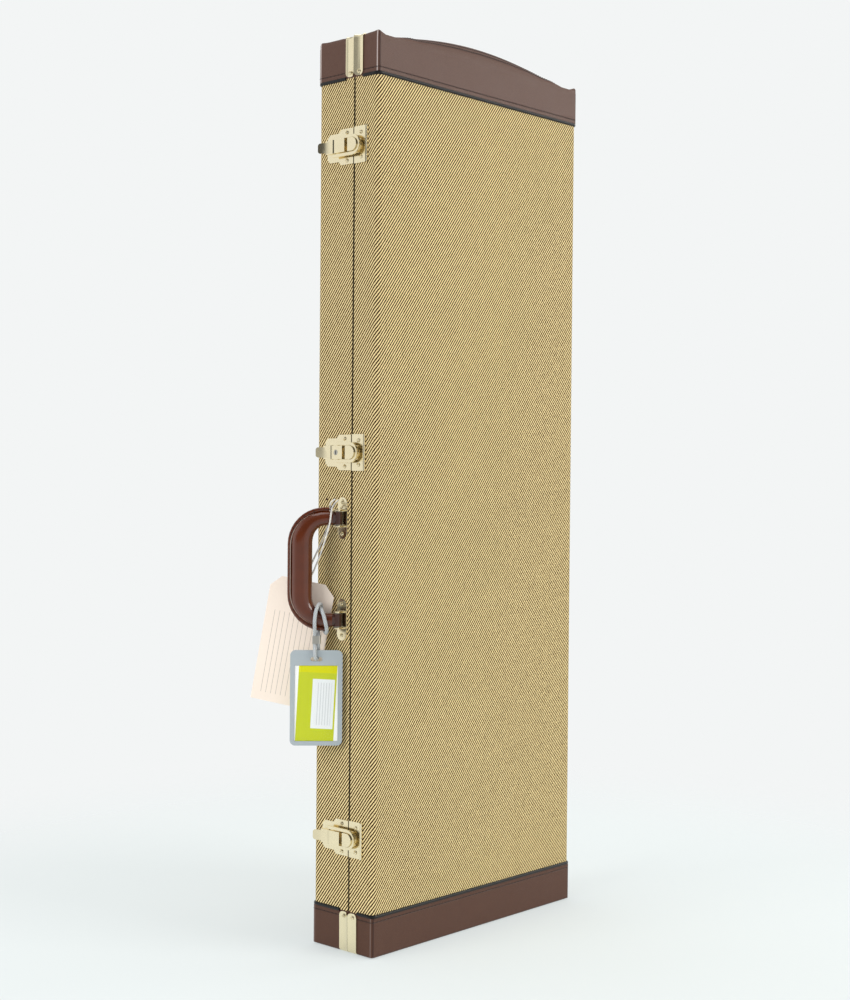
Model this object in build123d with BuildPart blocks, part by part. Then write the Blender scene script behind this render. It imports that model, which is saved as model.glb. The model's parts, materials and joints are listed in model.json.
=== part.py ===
from build123d import *
import os
from math import cos, radians, sin, tan

# Hard case for a solid-body electric guitar, standing on its body end.
# X runs across the case, from the latches (-X) to the hinges (+X). Y runs through its depth,
# from the lid's face (-Y) to the base's back (+Y). Z runs up its length, and the origin is
# the middle of the foot end, where the case stands. Lengths are millimetres.

# ---------------------------------------------------------------- the box
case_length = 1016.0
case_width = 354.8
case_depth = 93.5
lid_depth = 36.75  # the lid's share of the depth, from its face to the seam
seam_gap = 0.4  # between the two rims when the case is shut
long_edge_radius = 6.5  # the rounded long edges
end_edge_radius = 3.0  # the edges round each end
cover = 1.2  # tweed or leather with its glue
rim_ply = 8.0
panel_ply = 5.0
plush = 2.0  # the lining
end_band = 46.0  # how far the leather runs up from each end
end_sheet = 3.6  # leather over board across each end

# ---------------------------------------------------------------- trim
piping_radius = 1.9
crown_width = 270.0  # the padded crown across the head end
crown_rise = 13.0
crown_round = 6.0
crown_margin = 3.0  # from the crown's foot to the edges round it
guard_width = 13.0
guard_leg = 45.0  # the guard's leg down the side
guard_foot = 38.0  # the guard's leg across the end
guard_metal = 0.9
guard_ear_radius = 5.0
guard_screw_inset = 4.6  # from the leg's end to its screw

# ---------------------------------------------------------------- screws
screw_head_radius = 2.3
screw_head = 1.1
screw_shank_radius = 1.2
screw_length = 6.5

# ---------------------------------------------------------------- inside
well_end = 428.0  # the body well ends here
foot_pad = 26.0  # the bolster behind the guitar's end
guitar_end_radius = 250.0  # of the guitar body's end
waist_height = 240.0
waist_pad = 32.0
waist_pad_length = 150.0
neck_rest = 40.0  # the notched block where the neck meets the body
neck_channel = 66.0
neck_bed = 16.0  # foam under the neck
box_length = 230.0  # the accessory box
box_wall = 4.0
head_rest_height = case_length - 216.0
head_rest = 45.0
block_top = 8.0  # the blocks stop this far below the rim
lid_pad = 7.0  # foam in the lid
lid_pad_margin = 12.0
box_lid = 4.0
box_lid_gap = 0.4
tab_length = 26.0
tab_width = 18.0
tab_thickness = 1.6

# ---------------------------------------------------------------- hinges
hinge_inset = 150.0  # from each end to the middle of its hinge
hinge_heights = (hinge_inset, case_length / 2, case_length - hinge_inset)
hinge_leaf_length = 44.0
hinge_leaf_width = 20.0
hinge_metal = 1.2
hinge_barrel_radius = 3.0
hinge_pin_radius = 1.5
running_gap = 0.05
hinge_stand_off = 0.4  # from the barrel to the cover
hinge_knuckles = 5
knuckle_gap = 0.3
hinge_screw_spacing = 30.0

# ---------------------------------------------------------------- latches
latch_heights = (127.3, case_length * 0.5475, case_length - 121.0)
latch_metal = 1.2
keeper_height = 40.5
keeper_start = 0.7  # from the seam to the keeper plate
keeper_end = 21.0
keeper_rim = 1.6  # the rolled edge
keeper_screws = (11.0, 27.2)  # from the seam, and apart
plate_start = 0.7
plate_wide_end = 19.5
plate_wide = 39.5
plate_narrow = 31.5
plate_end = 41.0
plate_screws = (10.5, 31.0)
boss_width = 15.0
boss_tongue = 3.4  # the boss reaches over the seam by this
boss_nose = 10.2
boss_top = 9.0
boss_under = 4.0  # clear under its tongue
boss_lean = 0.9
lever_width = 15.0
lever_wall = 1.2
lever_top = 10.2
lever_bottom = 2.1
pivot_from_seam = 9.0
pivot_height = 6.2
pivot_radius = 1.2
lever_heel = 3.2  # from the pivot to the lever's heel
lever_box = 15.5  # from the pivot to the step
lever_neck = 27.0
lever_step = 1.0
tab_reach = 36.0
finger_width = 11.5
finger_lift = 3.5
ear_gap = 0.3
ear_metal = 1.2
ear_radius = 1.7
bail_gap = 0.6
bail_width = 3.2
bail_metal = 2.2
bail_pivot = 16.0  # from the lever's pivot to the bail's
bail_pin_radius = 1.1
keyhole_from_pivot = 6.5
lock_radius = 3.0
lock_collar = 1.0
keyway_depth = 2.0
keyway_width = 1.2

# ---------------------------------------------------------------- handle
handle_z = case_length * 0.42  # the middle of the handle
arm_spacing = 113.0
axis_y = 3.0
axis_height = 8.5
lean = 135.0  # the handle's direction about +Z, where 180 is straight out
grip_centre = 39.5  # from the axis to the middle of the grip
grip_thick = 21.0
grip_wide = 23.0
arm_thick = 15.6
flange_wide = 5.0
flange_thick = 4.5
flange_sink = 0.6  # how far the flange is sunk in the grip
grip_sections = 12
corner_radius = 27.0
strap_wide = 8.0
strap_thick = 2.0
eye_radius = 4.4
eye_length = 15.0
bar_radius = 2.5
bracket_length = 47.0
bracket_width = 15.0
bracket_metal = 1.5
bracket_screw_spacing = 35.0
lug_metal = 2.0
lug_gap = 0.4

# ---------------------------------------------------------------- tags
paper = (75.0, 142.0, 0.5)
paper_turn = 10.0
paper_middle = (51.2, -83.8)  # along the handle's direction, and up from its middle
paper_offset = 8.4  # behind the handle's plane, at its axis
paper_slope = 14.4
paper_chamfer = 12.0
paper_hole_radius = 3.0
paper_hole_inset = 13.0
sleeve = (58.0, 106.0, 2.4)
sleeve_inner_edge = -6.5  # from the handle's axis
sleeve_top = -89.8  # from the handle's middle
sleeve_offset = -2.0
sleeve_corner = 6.0
slot_size = (13.0, 4.6)
slot_drop = 10.0
card = (48.0, 84.0, 1.0)
card_drop = 17.0
string_radius = 0.6
loop_radius = 1.8
strand_spacing = 4.1
crimp_size = (9.8, 6.2, 9.0)
crimp_ease = 0.5
crimp_bottom = -82.8

# ---------------------------------------------------------------- places worked out from these
lid_face = -case_depth / 2
base_back = case_depth / 2
seam = lid_face + lid_depth
inner_half_width = case_width / 2 - cover - rim_ply
head = case_length
wall = cover + panel_ply  # from a face to the inside of its board
end_wall = end_sheet + rim_ply
latch_side = Plane(origin=(-case_width / 2, seam, 0), x_dir=(0, -1, 0), z_dir=(-1, 0, 0))
hinge_side = Plane(origin=(case_width / 2, seam, 0), x_dir=(0, 1, 0), z_dir=(1, 0, 0))
OUT = (Align.CENTER, Align.CENTER, Align.MIN)
IN = (Align.CENTER, Align.CENTER, Align.MAX)


def toward(outer):
    """+1 for the base, whose outer face is at +Y, and -1 for the lid."""
    return 1 if outer > seam else -1


def mouth(outer):
    return seam + toward(outer) * seam_gap / 2


def half_section(outer, inset=0.0, past_seam=0.0):
    """One half's cross-section, inset from its outer cover, with its long edges rounded."""
    near = mouth(outer) - toward(outer) * past_seam
    far = outer - toward(outer) * inset
    with BuildSketch() as section:
        with Locations((0, (near + far) / 2)):
            Rectangle(case_width - 2 * inset, abs(far - near))
        rows = section.vertices().group_by(Axis.Y)
        fillet(rows[-1 if outer > seam else 0], long_edge_radius - inset)
    return section.sketch


def ends_of(length, both):
    """The levels where a piece at the foot starts and ends, and the same at the head."""
    return ((both, length), (head - length, head - both))


def side_place(plane, across, up, out=0.0):
    """A place on a side of the case: across from the seam, up its length, and out from it."""
    return plane.location * Location((across, up, out))


def drill(places):
    """Holes for the screws' shanks, cut in the piece that is being made."""
    with Locations(*places):
        Cylinder(screw_shank_radius, screw_length, align=IN, mode=Mode.SUBTRACT)


def keep(name, maker):
    """Labels a finished piece and writes its file."""
    maker.part.label = name
    export_step(maker.part, f"parts/{name}.step")


# ---------------------------------------------------------------- where the screws go
def guard_screws(outer):
    across = seam_gap / 2 + guard_width / 2
    ups = [guard_leg - guard_screw_inset, head - guard_leg + guard_screw_inset]
    latch = [side_place(latch_side, -toward(outer) * across, up, guard_metal) for up in ups]
    hinge = [side_place(hinge_side, toward(outer) * across, up, guard_metal) for up in ups]
    return latch + hinge


def hinge_screws(outer):
    across = toward(outer) * (hinge_leaf_width + hinge_barrel_radius) / 2
    return [
        side_place(hinge_side, across, height + end * hinge_screw_spacing / 2, hinge_metal)
        for height in hinge_heights
        for end in (-1, 1)
    ]


def latch_screws(outer):
    across, apart = plate_screws if outer > seam else keeper_screws
    return [
        side_place(latch_side, -toward(outer) * across, height + end * apart / 2, latch_metal)
        for height in latch_heights
        for end in (-1, 1)
    ]


def bracket_screws():
    return [
        side_place(latch_side, seam - axis_y, height + end * bracket_screw_spacing / 2, bracket_metal)
        for height in bracket_heights
        for end in (-1, 1)
    ]


bracket_heights = (handle_z - arm_spacing / 2, handle_z + arm_spacing / 2)
base_screw_places = guard_screws(base_back) + hinge_screws(base_back) + latch_screws(base_back)
base_screw_places += bracket_screws()
lid_screw_places = guard_screws(lid_face) + hinge_screws(lid_face) + latch_screws(lid_face)


def screws(places):
    """Low round-headed wood screws, one at each place."""
    with BuildPart() as group:
        with Locations(*places):
            Cylinder(screw_shank_radius, screw_length, align=IN)
            Cylinder(screw_head_radius, screw_head / 2, align=OUT)
        with Locations(*[place * Location((0, 0, screw_head / 2)) for place in places]):
            Cone(screw_head_radius, screw_head_radius * 0.55, screw_head / 2, align=OUT)
    return group


# ---------------------------------------------------------------- the guards over the seam's ends
def guard(outer):
    """One L-shaped guard at the foot of the latch side: a leg up the side, a leg across the end."""
    side = -case_width / 2
    start = mouth(outer) + (0 if outer > seam else -guard_width)
    with BuildPart() as strip:
        with BuildSketch(Plane.XZ.offset(-start - guard_width)):
            with BuildLine():
                outside = FilletPolyline(
                    (side - guard_metal, guard_leg),
                    (side - guard_metal, 0),
                    (side + guard_foot, 0),
                    radius=end_edge_radius + guard_metal,
                )
                inside = FilletPolyline(
                    (side, guard_leg),
                    (side, guard_metal),
                    (side + guard_foot, guard_metal),
                    radius=end_edge_radius,
                )
                Line(outside @ 0, inside @ 0)
                Line(outside @ 1, inside @ 1)
            make_face()
        extrude(amount=guard_width)
        fillet(strip.edges().filter_by(Axis.X).group_by(Axis.Z)[-1], guard_ear_radius)
        fillet(strip.edges().filter_by(Axis.Z).group_by(Axis.X)[-1], guard_ear_radius)
    return strip.part


def guards(outer):
    """The four guards of one half, at the two ends of its latch side and of its hinge side."""
    with BuildPart() as strips:
        add(guard(outer))
        mirror(about=Plane.YZ)
        mirror(about=Plane.XY.offset(head / 2))
        drill(guard_screws(outer))
    return strips


# ---------------------------------------------------------------- boards
def board(outer, place, size, levels, places=()):
    """A board under the cover: the part of the half's section that the rectangle takes."""
    with BuildPart() as plank:
        with BuildSketch(Plane.XY.offset(levels[0])):
            add(half_section(outer, cover))
            with Locations(place):
                Rectangle(*size, mode=Mode.INTERSECT)
        extrude(amount=levels[1] - levels[0])
        if places:
            drill(places)
    return plank


def face_panel(outer):
    middle = outer - toward(outer) * (cover + panel_ply / 2)
    return board(outer, (0, middle), (case_width, panel_ply), (end_sheet, head - end_sheet))


def side_board(outer, side, places):
    far = outer - toward(outer) * wall
    x = side * (inner_half_width + rim_ply / 2)
    size = (rim_ply, abs(far - mouth(outer)))
    return board(outer, (x, (mouth(outer) + far) / 2), size, (end_sheet, head - end_sheet), places)


def end_board(outer, levels):
    far = outer - toward(outer) * wall
    size = (2 * inner_half_width, abs(far - mouth(outer)))
    return board(outer, (0, (mouth(outer) + far) / 2), size, levels)


# ---------------------------------------------------------------- covers
def skin(outer, levels, places):
    """A cover that wraps one half's back and sides between two levels."""
    with BuildPart() as wrap:
        for low, high in levels:
            with BuildSketch(Plane.XY.offset(low)):
                add(half_section(outer))
                add(half_section(outer, cover, past_seam=case_depth), mode=Mode.SUBTRACT)
            extrude(amount=high - low)
        drill(places)
    return wrap


def tweed(outer, places):
    return skin(outer, [(end_band, head - end_band)], places)


def leather_bands(outer, places):
    with BuildPart() as bands:
        add(skin(outer, ends_of(end_band, end_sheet), places).part)
        add(guards(outer).part, mode=Mode.SUBTRACT)
    return bands


def end_cap(outer, at_head):
    """The leather over board that closes one end, let in flush for the guards."""
    low = head - end_sheet if at_head else 0
    with BuildPart() as cap:
        with BuildSketch(Plane.XY.offset(low)):
            add(half_section(outer))
        extrude(amount=end_sheet)
        rim = cap.edges().group_by(Axis.Z)[-1 if at_head else 0]
        outside = [edge for edge in rim if abs(edge.center().Y - mouth(outer)) > 0.01]
        fillet(outside, end_edge_radius)
        if at_head:
            add(crown(outer))
        add(guards(outer).part, mode=Mode.SUBTRACT)
    return cap


def crown(outer):
    """The padded crown across the head end, an arch with rounded shoulders."""
    first = mouth(outer) + toward(outer) * (guard_width + crown_margin)
    last = outer - toward(outer) * (end_edge_radius + crown_margin)
    radius = (crown_width**2 / 4 + crown_rise**2) / (2 * crown_rise)
    with BuildPart() as arch:
        with BuildSketch(Plane.YZ):
            with Locations(((first + last) / 2, head + crown_rise / 2 - end_sheet / 2)):
                Rectangle(abs(last - first), crown_rise + end_sheet)
        revolve(axis=Axis((0, 0, head + crown_rise - radius), (0, 1, 0)), revolution_arc=12)
        mirror(about=Plane.YZ)
        tops = arch.faces().filter_by(GeomType.CYLINDER).sort_by(Axis.Z)[-2:]
        fillet([edge for face in tops for edge in face.edges().filter_by(GeomType.CIRCLE)], crown_round)
        split(bisect_by=Plane.XY.offset(head - 0.01), keep=Keep.TOP)
    return arch.part


def piping(outer):
    """The half-round welts between tweed and leather, from guard to guard."""
    start = mouth(outer) + toward(outer) * (guard_width + 0.3)
    side = case_width / 2
    with BuildPart() as welts:
        for level in (end_band, head - end_band):
            with BuildLine(Plane.XY.offset(level)) as way:
                FilletPolyline(
                    (-side, start),
                    (-side, outer),
                    (side, outer),
                    (side, start),
                    radius=long_edge_radius,
                )
            across = Plane(
                origin=(-side, start, level), x_dir=(-1, 0, 0), z_dir=(0, toward(outer), 0)
            )
            with BuildSketch(across):
                Circle(piping_radius)
                with Locations((piping_radius, 0)):
                    Rectangle(2 * piping_radius, 2 * piping_radius, mode=Mode.INTERSECT)
            sweep(path=way.line)
    return welts


def lining(outer):
    """The plush tray glued inside one half."""
    near, far = mouth(outer), outer - toward(outer) * wall
    floor = far - toward(outer) * plush
    with BuildPart() as tray:
        with BuildSketch(Plane.XY.offset(end_wall)):
            with Locations((0, (near + far) / 2)):
                Rectangle(2 * inner_half_width, abs(far - near))
        extrude(amount=head - 2 * end_wall)
        with BuildSketch(Plane.XY.offset(end_wall + plush)):
            with Locations((0, (near + floor) / 2)):
                Rectangle(2 * (inner_half_width - plush), abs(floor - near))
        extrude(amount=head - 2 * end_wall - 2 * plush, mode=Mode.SUBTRACT)
    return tray


# ---------------------------------------------------------------- inside the base
bed = base_back - wall - plush  # the lining's floor
well_half_width = inner_half_width - plush
well_foot = end_wall + plush
well_head = head - well_foot
block_face = mouth(base_back) + block_top


def block(low, high, left, right, face):
    """A plush-covered foam block that stands on the lining's floor."""
    with BuildPart() as foam:
        with BuildSketch(Plane.XY.offset(low)):
            with Locations(((left + right) / 2, (face + bed) / 2)):
                Rectangle(right - left, bed - face)
        extrude(amount=high - low)
    return foam


def foot_bolster():
    """The bolster that the end of the guitar's body rests against, hollowed to its curve."""
    sag = guitar_end_radius - (guitar_end_radius**2 - well_half_width**2) ** 0.5
    with BuildPart() as bolster:
        add(block(well_foot, well_foot + foot_pad + sag, -well_half_width, well_half_width, block_face).part)
        with BuildSketch(Plane.XZ.offset(-block_face)):
            with Locations((0, well_foot + foot_pad + guitar_end_radius)):
                Circle(guitar_end_radius)
        extrude(amount=-(bed - block_face), mode=Mode.SUBTRACT)
    return bolster


def waist_bolsters():
    """The two pads that fill the waist of the guitar's body."""
    half, radius = waist_pad_length / 2, (waist_pad_length**2 / 4 + waist_pad**2) / (2 * waist_pad)
    with BuildPart() as pads:
        with BuildSketch(Plane.XZ.offset(-block_face)):
            with BuildLine():
                ends = (
                    (-well_half_width, waist_height - half),
                    (-well_half_width, waist_height + half),
                )
                RadiusArc(ends[0], ends[1], -radius)
                Line(ends[1], ends[0])
            make_face()
        extrude(amount=-(bed - block_face))
        mirror(about=Plane.YZ)
    return pads


def neck_block(low, length):
    """A full-width block with a round-bottomed notch for the guitar's neck."""
    with BuildPart() as rest:
        add(block(low, low + length, -well_half_width, well_half_width, block_face).part)
        with BuildSketch(Plane.XY.offset(low)):
            with Locations((0, (block_face + bed - neck_bed) / 2)):
                Rectangle(neck_channel, bed - neck_bed - block_face)
        extrude(amount=length, mode=Mode.SUBTRACT)
        edges = rest.edges().filter_by(Axis.Z)
        inner = [edge for edge in edges if abs(abs(edge.center().X) - neck_channel / 2) < 0.1]
        fillet([edge for edge in inner if edge.center().Y > block_face + 1], neck_channel / 6)
    return rest


box_low = well_end + neck_rest
box_high = box_low + box_length


def accessory_box():
    """The open box for strings and straps, on the hinge side of the neck."""
    with BuildPart() as tub:
        add(block(box_low, box_high, neck_channel / 2, well_half_width, box_face).part)
        with BuildSketch(Plane.XZ.offset(-box_face)):
            with Locations(((neck_channel / 2 + well_half_width) / 2, (box_low + box_high) / 2)):
                Rectangle(
                    well_half_width - neck_channel / 2 - 2 * box_wall, box_length - 2 * box_wall
                )
        extrude(amount=-(bed - box_face - box_wall), mode=Mode.SUBTRACT)
    return tub


box_face = block_face + box_lid + box_lid_gap
lid_hinge_x = well_half_width - box_lid_gap - box_lid / 2


def accessory_lid():
    """The box's plush-covered lid, on a cloth hinge along its outer edge."""
    inner = neck_channel / 2
    with BuildPart() as flap:
        with BuildSketch(Plane.XY.offset(box_low + box_lid_gap)):
            with Locations(((inner + lid_hinge_x) / 2, block_face + box_lid / 2)):
                Rectangle(lid_hinge_x - inner, box_lid)
            with Locations((lid_hinge_x, block_face + box_lid / 2)):
                Circle(box_lid / 2)
        extrude(amount=box_length - 2 * box_lid_gap)
    return flap


def pull_tab():
    """The ribbon that lifts the lid, sewn on its face and standing past its edge."""
    with BuildPart() as ribbon:
        with BuildSketch(Plane.XZ.offset(-block_face)):
            with Locations((neck_channel / 2, (box_low + box_high) / 2)):
                RectangleRounded(tab_length, tab_width, tab_width * 0.3)
        extrude(amount=tab_thickness)
    return ribbon


def lid_foam():
    """The foam pad in the lid that holds the guitar down."""
    near = lid_face + wall + plush
    with BuildPart() as pad:
        with BuildSketch(Plane.XZ.offset(-near)):
            with Locations((0, head / 2)):
                RectangleRounded(
                    2 * (well_half_width - lid_pad_margin),
                    well_head - well_foot - 2 * lid_pad_margin,
                    3 * lid_pad_margin,
                )
        extrude(amount=-lid_pad)
        fillet(pad.faces().sort_by(Axis.Y)[-1].edges(), lid_pad * 0.6)
    return pad


# ---------------------------------------------------------------- hinges
barrel_out = hinge_stand_off + hinge_barrel_radius
knuckle_pitch = hinge_leaf_length / hinge_knuckles


def hinge_leaves(outer, places):
    """The three leaves of one half. The base's have the odd knuckles and the lid's the even."""
    way = toward(outer)
    clear = hinge_barrel_radius + hinge_stand_off
    with BuildPart() as leaves:
        for height in hinge_heights:
            with BuildSketch(hinge_side):
                with Locations((way * (clear + hinge_leaf_width) / 2, height)):
                    RectangleRounded(hinge_leaf_width - clear, hinge_leaf_length, hinge_metal)
            extrude(amount=hinge_metal)
            for index in range(0 if way > 0 else 1, hinge_knuckles, 2):
                level = height + (index - (hinge_knuckles - 1) / 2) * knuckle_pitch
                with Locations((case_width / 2 + barrel_out, seam, level)):
                    Cylinder(hinge_barrel_radius, knuckle_pitch - knuckle_gap)
                with BuildSketch(hinge_side):
                    with Locations((way * (clear + hinge_metal) / 2, level)):
                        Rectangle(clear + hinge_metal, knuckle_pitch - knuckle_gap)
                extrude(amount=hinge_metal)
            bore = hinge_pin_radius + (0 if way > 0 else running_gap)
            with Locations((case_width / 2 + barrel_out, seam, height)):
                Cylinder(bore, hinge_leaf_length + 1, mode=Mode.SUBTRACT)
        drill(places)
    return leaves


def hinge_pins():
    with BuildPart() as pins:
        for height in hinge_heights:
            with Locations((case_width / 2 + barrel_out, seam, height)):
                Cylinder(hinge_pin_radius, hinge_leaf_length)
            for end in (-1, 1):
                tip = height + end * (hinge_leaf_length / 2 + hinge_metal / 2)
                with Locations((case_width / 2 + barrel_out, seam, tip)):
                    Cylinder(hinge_pin_radius * 1.4, hinge_metal)
    return pins


# ---------------------------------------------------------------- latches
def section_at(height):
    """The plane across a latch at this height: X from the seam over the lid, Y out of the case."""
    return Plane(origin=(-case_width / 2, seam, height), x_dir=(0, -1, 0), z_dir=(0, 0, -1))


def latch_pin(height, along, out, radius, length, mode=Mode.ADD):
    """A round along Z at a place in a latch's section."""
    with Locations((-case_width / 2 - out, seam - along, height)):
        Cylinder(radius, length, mode=mode)


ear_place = lever_width / 2 - lever_wall - ear_gap - ear_metal / 2


def latch_plates(places):
    """The base plates, each with two ears that carry its lever's pin inside the lever."""
    wide, narrow = plate_wide / 2, plate_narrow / 2
    slope = wide - narrow
    with BuildPart() as plates:
        for height in latch_heights:
            with BuildSketch(latch_side):
                with Locations((0, height)):
                    with BuildLine():
                        Polyline(
                            (-plate_start, height),
                            (-plate_start, height + wide),
                            (-plate_wide_end, height + wide),
                            (-plate_wide_end - slope, height + narrow),
                            (-plate_end + slope, height + narrow),
                            (-plate_end, height + narrow - slope),
                            (-plate_end, height),
                        )
                        mirror(about=Plane.XZ.offset(-height))
                    make_face()
            extrude(amount=latch_metal)
            for side in (-1, 1):
                with BuildSketch(section_at(height + side * ear_place)):
                    with Locations((-pivot_from_seam - ear_radius, pivot_height / 2)):
                        Rectangle(2 * ear_radius + 0.6, pivot_height)
                    with Locations((-pivot_from_seam, pivot_height)):
                        Circle(ear_radius)
                extrude(amount=ear_metal / 2, both=True)
            latch_pin(height, -pivot_from_seam, pivot_height, pivot_radius, lever_width, Mode.SUBTRACT)
        drill(places)
    return plates


def lever_pins():
    with BuildPart() as pins:
        for height in latch_heights:
            latch_pin(height, -pivot_from_seam, pivot_height, pivot_radius, lever_width)
    return pins


def keepers(places):
    """The lid's plates, each with a rolled edge and a leaning D-shaped boss for the bail."""
    reach = boss_nose - boss_width / 2
    with BuildPart() as plates:
        for height in latch_heights:
            with BuildSketch(latch_side):
                with Locations(((keeper_start + keeper_end) / 2, height)):
                    Rectangle(keeper_end - keeper_start, keeper_height)
            extrude(amount=latch_metal)
            with BuildSketch(section_at(height)):
                with Locations((keeper_end - keeper_rim, latch_metal)):
                    Circle(keeper_rim)
                with Locations((keeper_end - keeper_rim, -keeper_rim / 2)):
                    Rectangle(3 * keeper_rim, keeper_rim, mode=Mode.SUBTRACT)
            extrude(amount=keeper_height / 2, both=True)
            with BuildSketch(latch_side.offset(latch_metal)):
                with Locations(((reach - boss_tongue) / 2, height)):
                    Rectangle(reach + boss_tongue, boss_width)
                with Locations((reach, height)):
                    Circle(boss_width / 2)
                with Locations((-boss_tongue - boss_width / 2, height)):
                    Rectangle(boss_width, boss_width, mode=Mode.SUBTRACT)
            tall = boss_top - latch_metal
            extrude(amount=tall, dir=(-tall, -boss_lean, 0))
            with BuildSketch(section_at(height)):
                with Locations((-boss_tongue, boss_under / 2)):
                    Rectangle(2 * (boss_tongue + keeper_start), boss_under)
            extrude(amount=boss_width, both=True, mode=Mode.SUBTRACT)
        drill(places)
    return plates


def lever(height, has_lock):
    """A stamped lever: a channel with a stepped top and a raised finger tab."""
    heel = -pivot_from_seam + lever_heel
    step = -pivot_from_seam - lever_box
    neck = -pivot_from_seam - lever_neck
    under = lever_top - lever_step - lever_wall
    tip = -pivot_from_seam - tab_reach
    with BuildPart() as stamping:
        with BuildSketch(section_at(height)):
            with BuildLine():
                Polyline(
                    (heel, lever_bottom + 2.5),
                    (heel, lever_top),
                    (step, lever_top),
                    (step, lever_top - lever_step),
                    (neck, lever_top - lever_step),
                    (neck, under),
                    (step - bail_pin_radius * 3, lever_bottom),
                    (heel - 2.2, lever_bottom),
                    close=True,
                )
            make_face()
        extrude(amount=lever_width / 2, both=True)
        with BuildSketch(section_at(height)):
            with Locations(((heel + neck) / 2, under / 2)):
                Rectangle(2 * (heel - neck), under)
        extrude(amount=lever_width / 2 - lever_wall, both=True, mode=Mode.SUBTRACT)
        with BuildSketch(section_at(height)):
            with BuildLine():
                Polyline(
                    (neck + 1, under),
                    (neck + 1, lever_top - lever_step),
                    (tip, lever_top - lever_step + finger_lift),
                    (tip, under + finger_lift),
                    close=True,
                )
            make_face()
        extrude(amount=finger_width / 2, both=True)
        tip_edges = stamping.faces().sort_by(Axis.Y)[-1].edges()
        fillet(tip_edges.filter_by(Axis.Z, reverse=True), finger_width * 0.26)
        hole = pivot_radius + running_gap
        latch_pin(height, -pivot_from_seam, pivot_height, hole, 2 * lever_width, Mode.SUBTRACT)
        pin = bail_pin_radius + running_gap
        latch_pin(height, -pivot_from_seam - bail_pivot, pivot_height, pin, 2 * lever_width, Mode.SUBTRACT)
        if has_lock:
            with Locations(side_place(latch_side, -pivot_from_seam - keyhole_from_pivot, height, under)):
                Cylinder(lock_radius + running_gap, lever_top, align=OUT, mode=Mode.SUBTRACT)
    return stamping


def lock_plug(height):
    """The lock's plug, with a slot for a flat key and a collar inside the lever."""
    under = lever_top - lever_step - lever_wall
    along = -pivot_from_seam - keyhole_from_pivot
    top = side_place(latch_side, along, height, lever_top)
    collar = side_place(latch_side, along, height, under - running_gap)
    with BuildPart() as plug:
        with Locations(top):
            Cylinder(lock_radius, lever_top - under + running_gap, align=IN)
        with Locations(collar):
            Cylinder(lock_radius + 1, lock_collar, align=IN)
        with Locations(top):
            Box(keyway_width, 2 * lock_radius * 0.7, keyway_depth, align=IN, mode=Mode.SUBTRACT)
    return plug


def bail(height):
    """The flat loop that hooks round the keeper's boss and pivots in the lever's sides."""
    inner = lever_width / 2 + bail_gap
    outer_radius = inner + bail_width
    end = -pivot_from_seam - bail_pivot - 2 * bail_pin_radius
    rise = (pivot_height + bail_metal / 2 - latch_metal) / (boss_top - latch_metal)
    centre = boss_nose + boss_lean * rise + 0.1 - inner
    with BuildPart() as loop:
        with BuildSketch(latch_side.offset(pivot_height - bail_metal / 2)):
            with Locations(((end + centre) / 2, height)):
                Rectangle(centre - end, 2 * outer_radius)
            with Locations((centre, height)):
                Circle(outer_radius)
            with Locations(((end + centre) / 2 - 5, height)):
                Rectangle(centre - end + 10, 2 * inner, mode=Mode.SUBTRACT)
            with Locations((centre, height)):
                Circle(inner, mode=Mode.SUBTRACT)
        extrude(amount=bail_metal)
        length = inner - (lever_width / 2 - lever_wall) + 0.2
        for side in (-1, 1):
            middle = height + side * (inner - length / 2 + 0.1)
            latch_pin(middle, -pivot_from_seam - bail_pivot, pivot_height, bail_pin_radius, length)
    return loop


# ---------------------------------------------------------------- handle
handle_plane = Plane(
    origin=(-case_width / 2 - axis_height, axis_y, handle_z),
    x_dir=(cos(radians(lean)), sin(radians(lean)), 0),
    z_dir=(sin(radians(lean)), -cos(radians(lean)), 0),
)


def brackets(places):
    """The two plates that hold the handle, each with a bar between two lugs."""
    lug_place = eye_length / 2 + lug_gap + lug_metal / 2
    across = seam - axis_y
    with BuildPart() as plates:
        for height in bracket_heights:
            with BuildSketch(latch_side):
                with Locations((across, height)):
                    SlotOverall(bracket_length, bracket_width, rotation=90)
            extrude(amount=bracket_metal)
            for side in (-1, 1):
                with BuildSketch(section_at(height + side * lug_place)):
                    with Locations((across, axis_height / 2)):
                        Rectangle(2 * eye_radius, axis_height)
                    with Locations((across, axis_height)):
                        Circle(eye_radius)
                extrude(amount=lug_metal / 2, both=True)
            latch_pin(height, across, axis_height, bar_radius, 2 * lug_place)
        drill(places)
    return plates


def handle_way(start, out, half, radius):
    """A U in the handle's plane, from one arm round the grip to the other."""
    with BuildLine(handle_plane) as way:
        FilletPolyline((start, half), (out, half), (out, -half), (start, -half), radius=radius)
    return way.wire()


def handle_core():
    """The spring-steel strap inside the handle, with an eye at each end round its bar."""
    way = handle_way(eye_radius - 0.5, grip_centre, arm_spacing / 2, corner_radius)
    with BuildPart() as strap:
        with BuildSketch(Plane(origin=way @ 0, x_dir=handle_plane.z_dir, z_dir=way % 0)):
            Rectangle(strap_wide, strap_thick)
        sweep(path=way)
        for height in bracket_heights:
            latch_pin(height, seam - axis_y, axis_height, eye_radius, eye_length)
        for height in bracket_heights:
            bore = bar_radius + running_gap
            latch_pin(height, seam - axis_y, axis_height, bore, eye_length + 1, Mode.SUBTRACT)
    return strap


def grip_section(share):
    """The leather's thickness and width at this share of the way round."""
    rise = min(max((min(share, 1 - share) - 0.08) / 0.24, 0), 1)
    full = rise**2 * (3 - 2 * rise)
    return arm_thick + (grip_thick - arm_thick) * full, arm_thick + (grip_wide - arm_thick) * full


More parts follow.
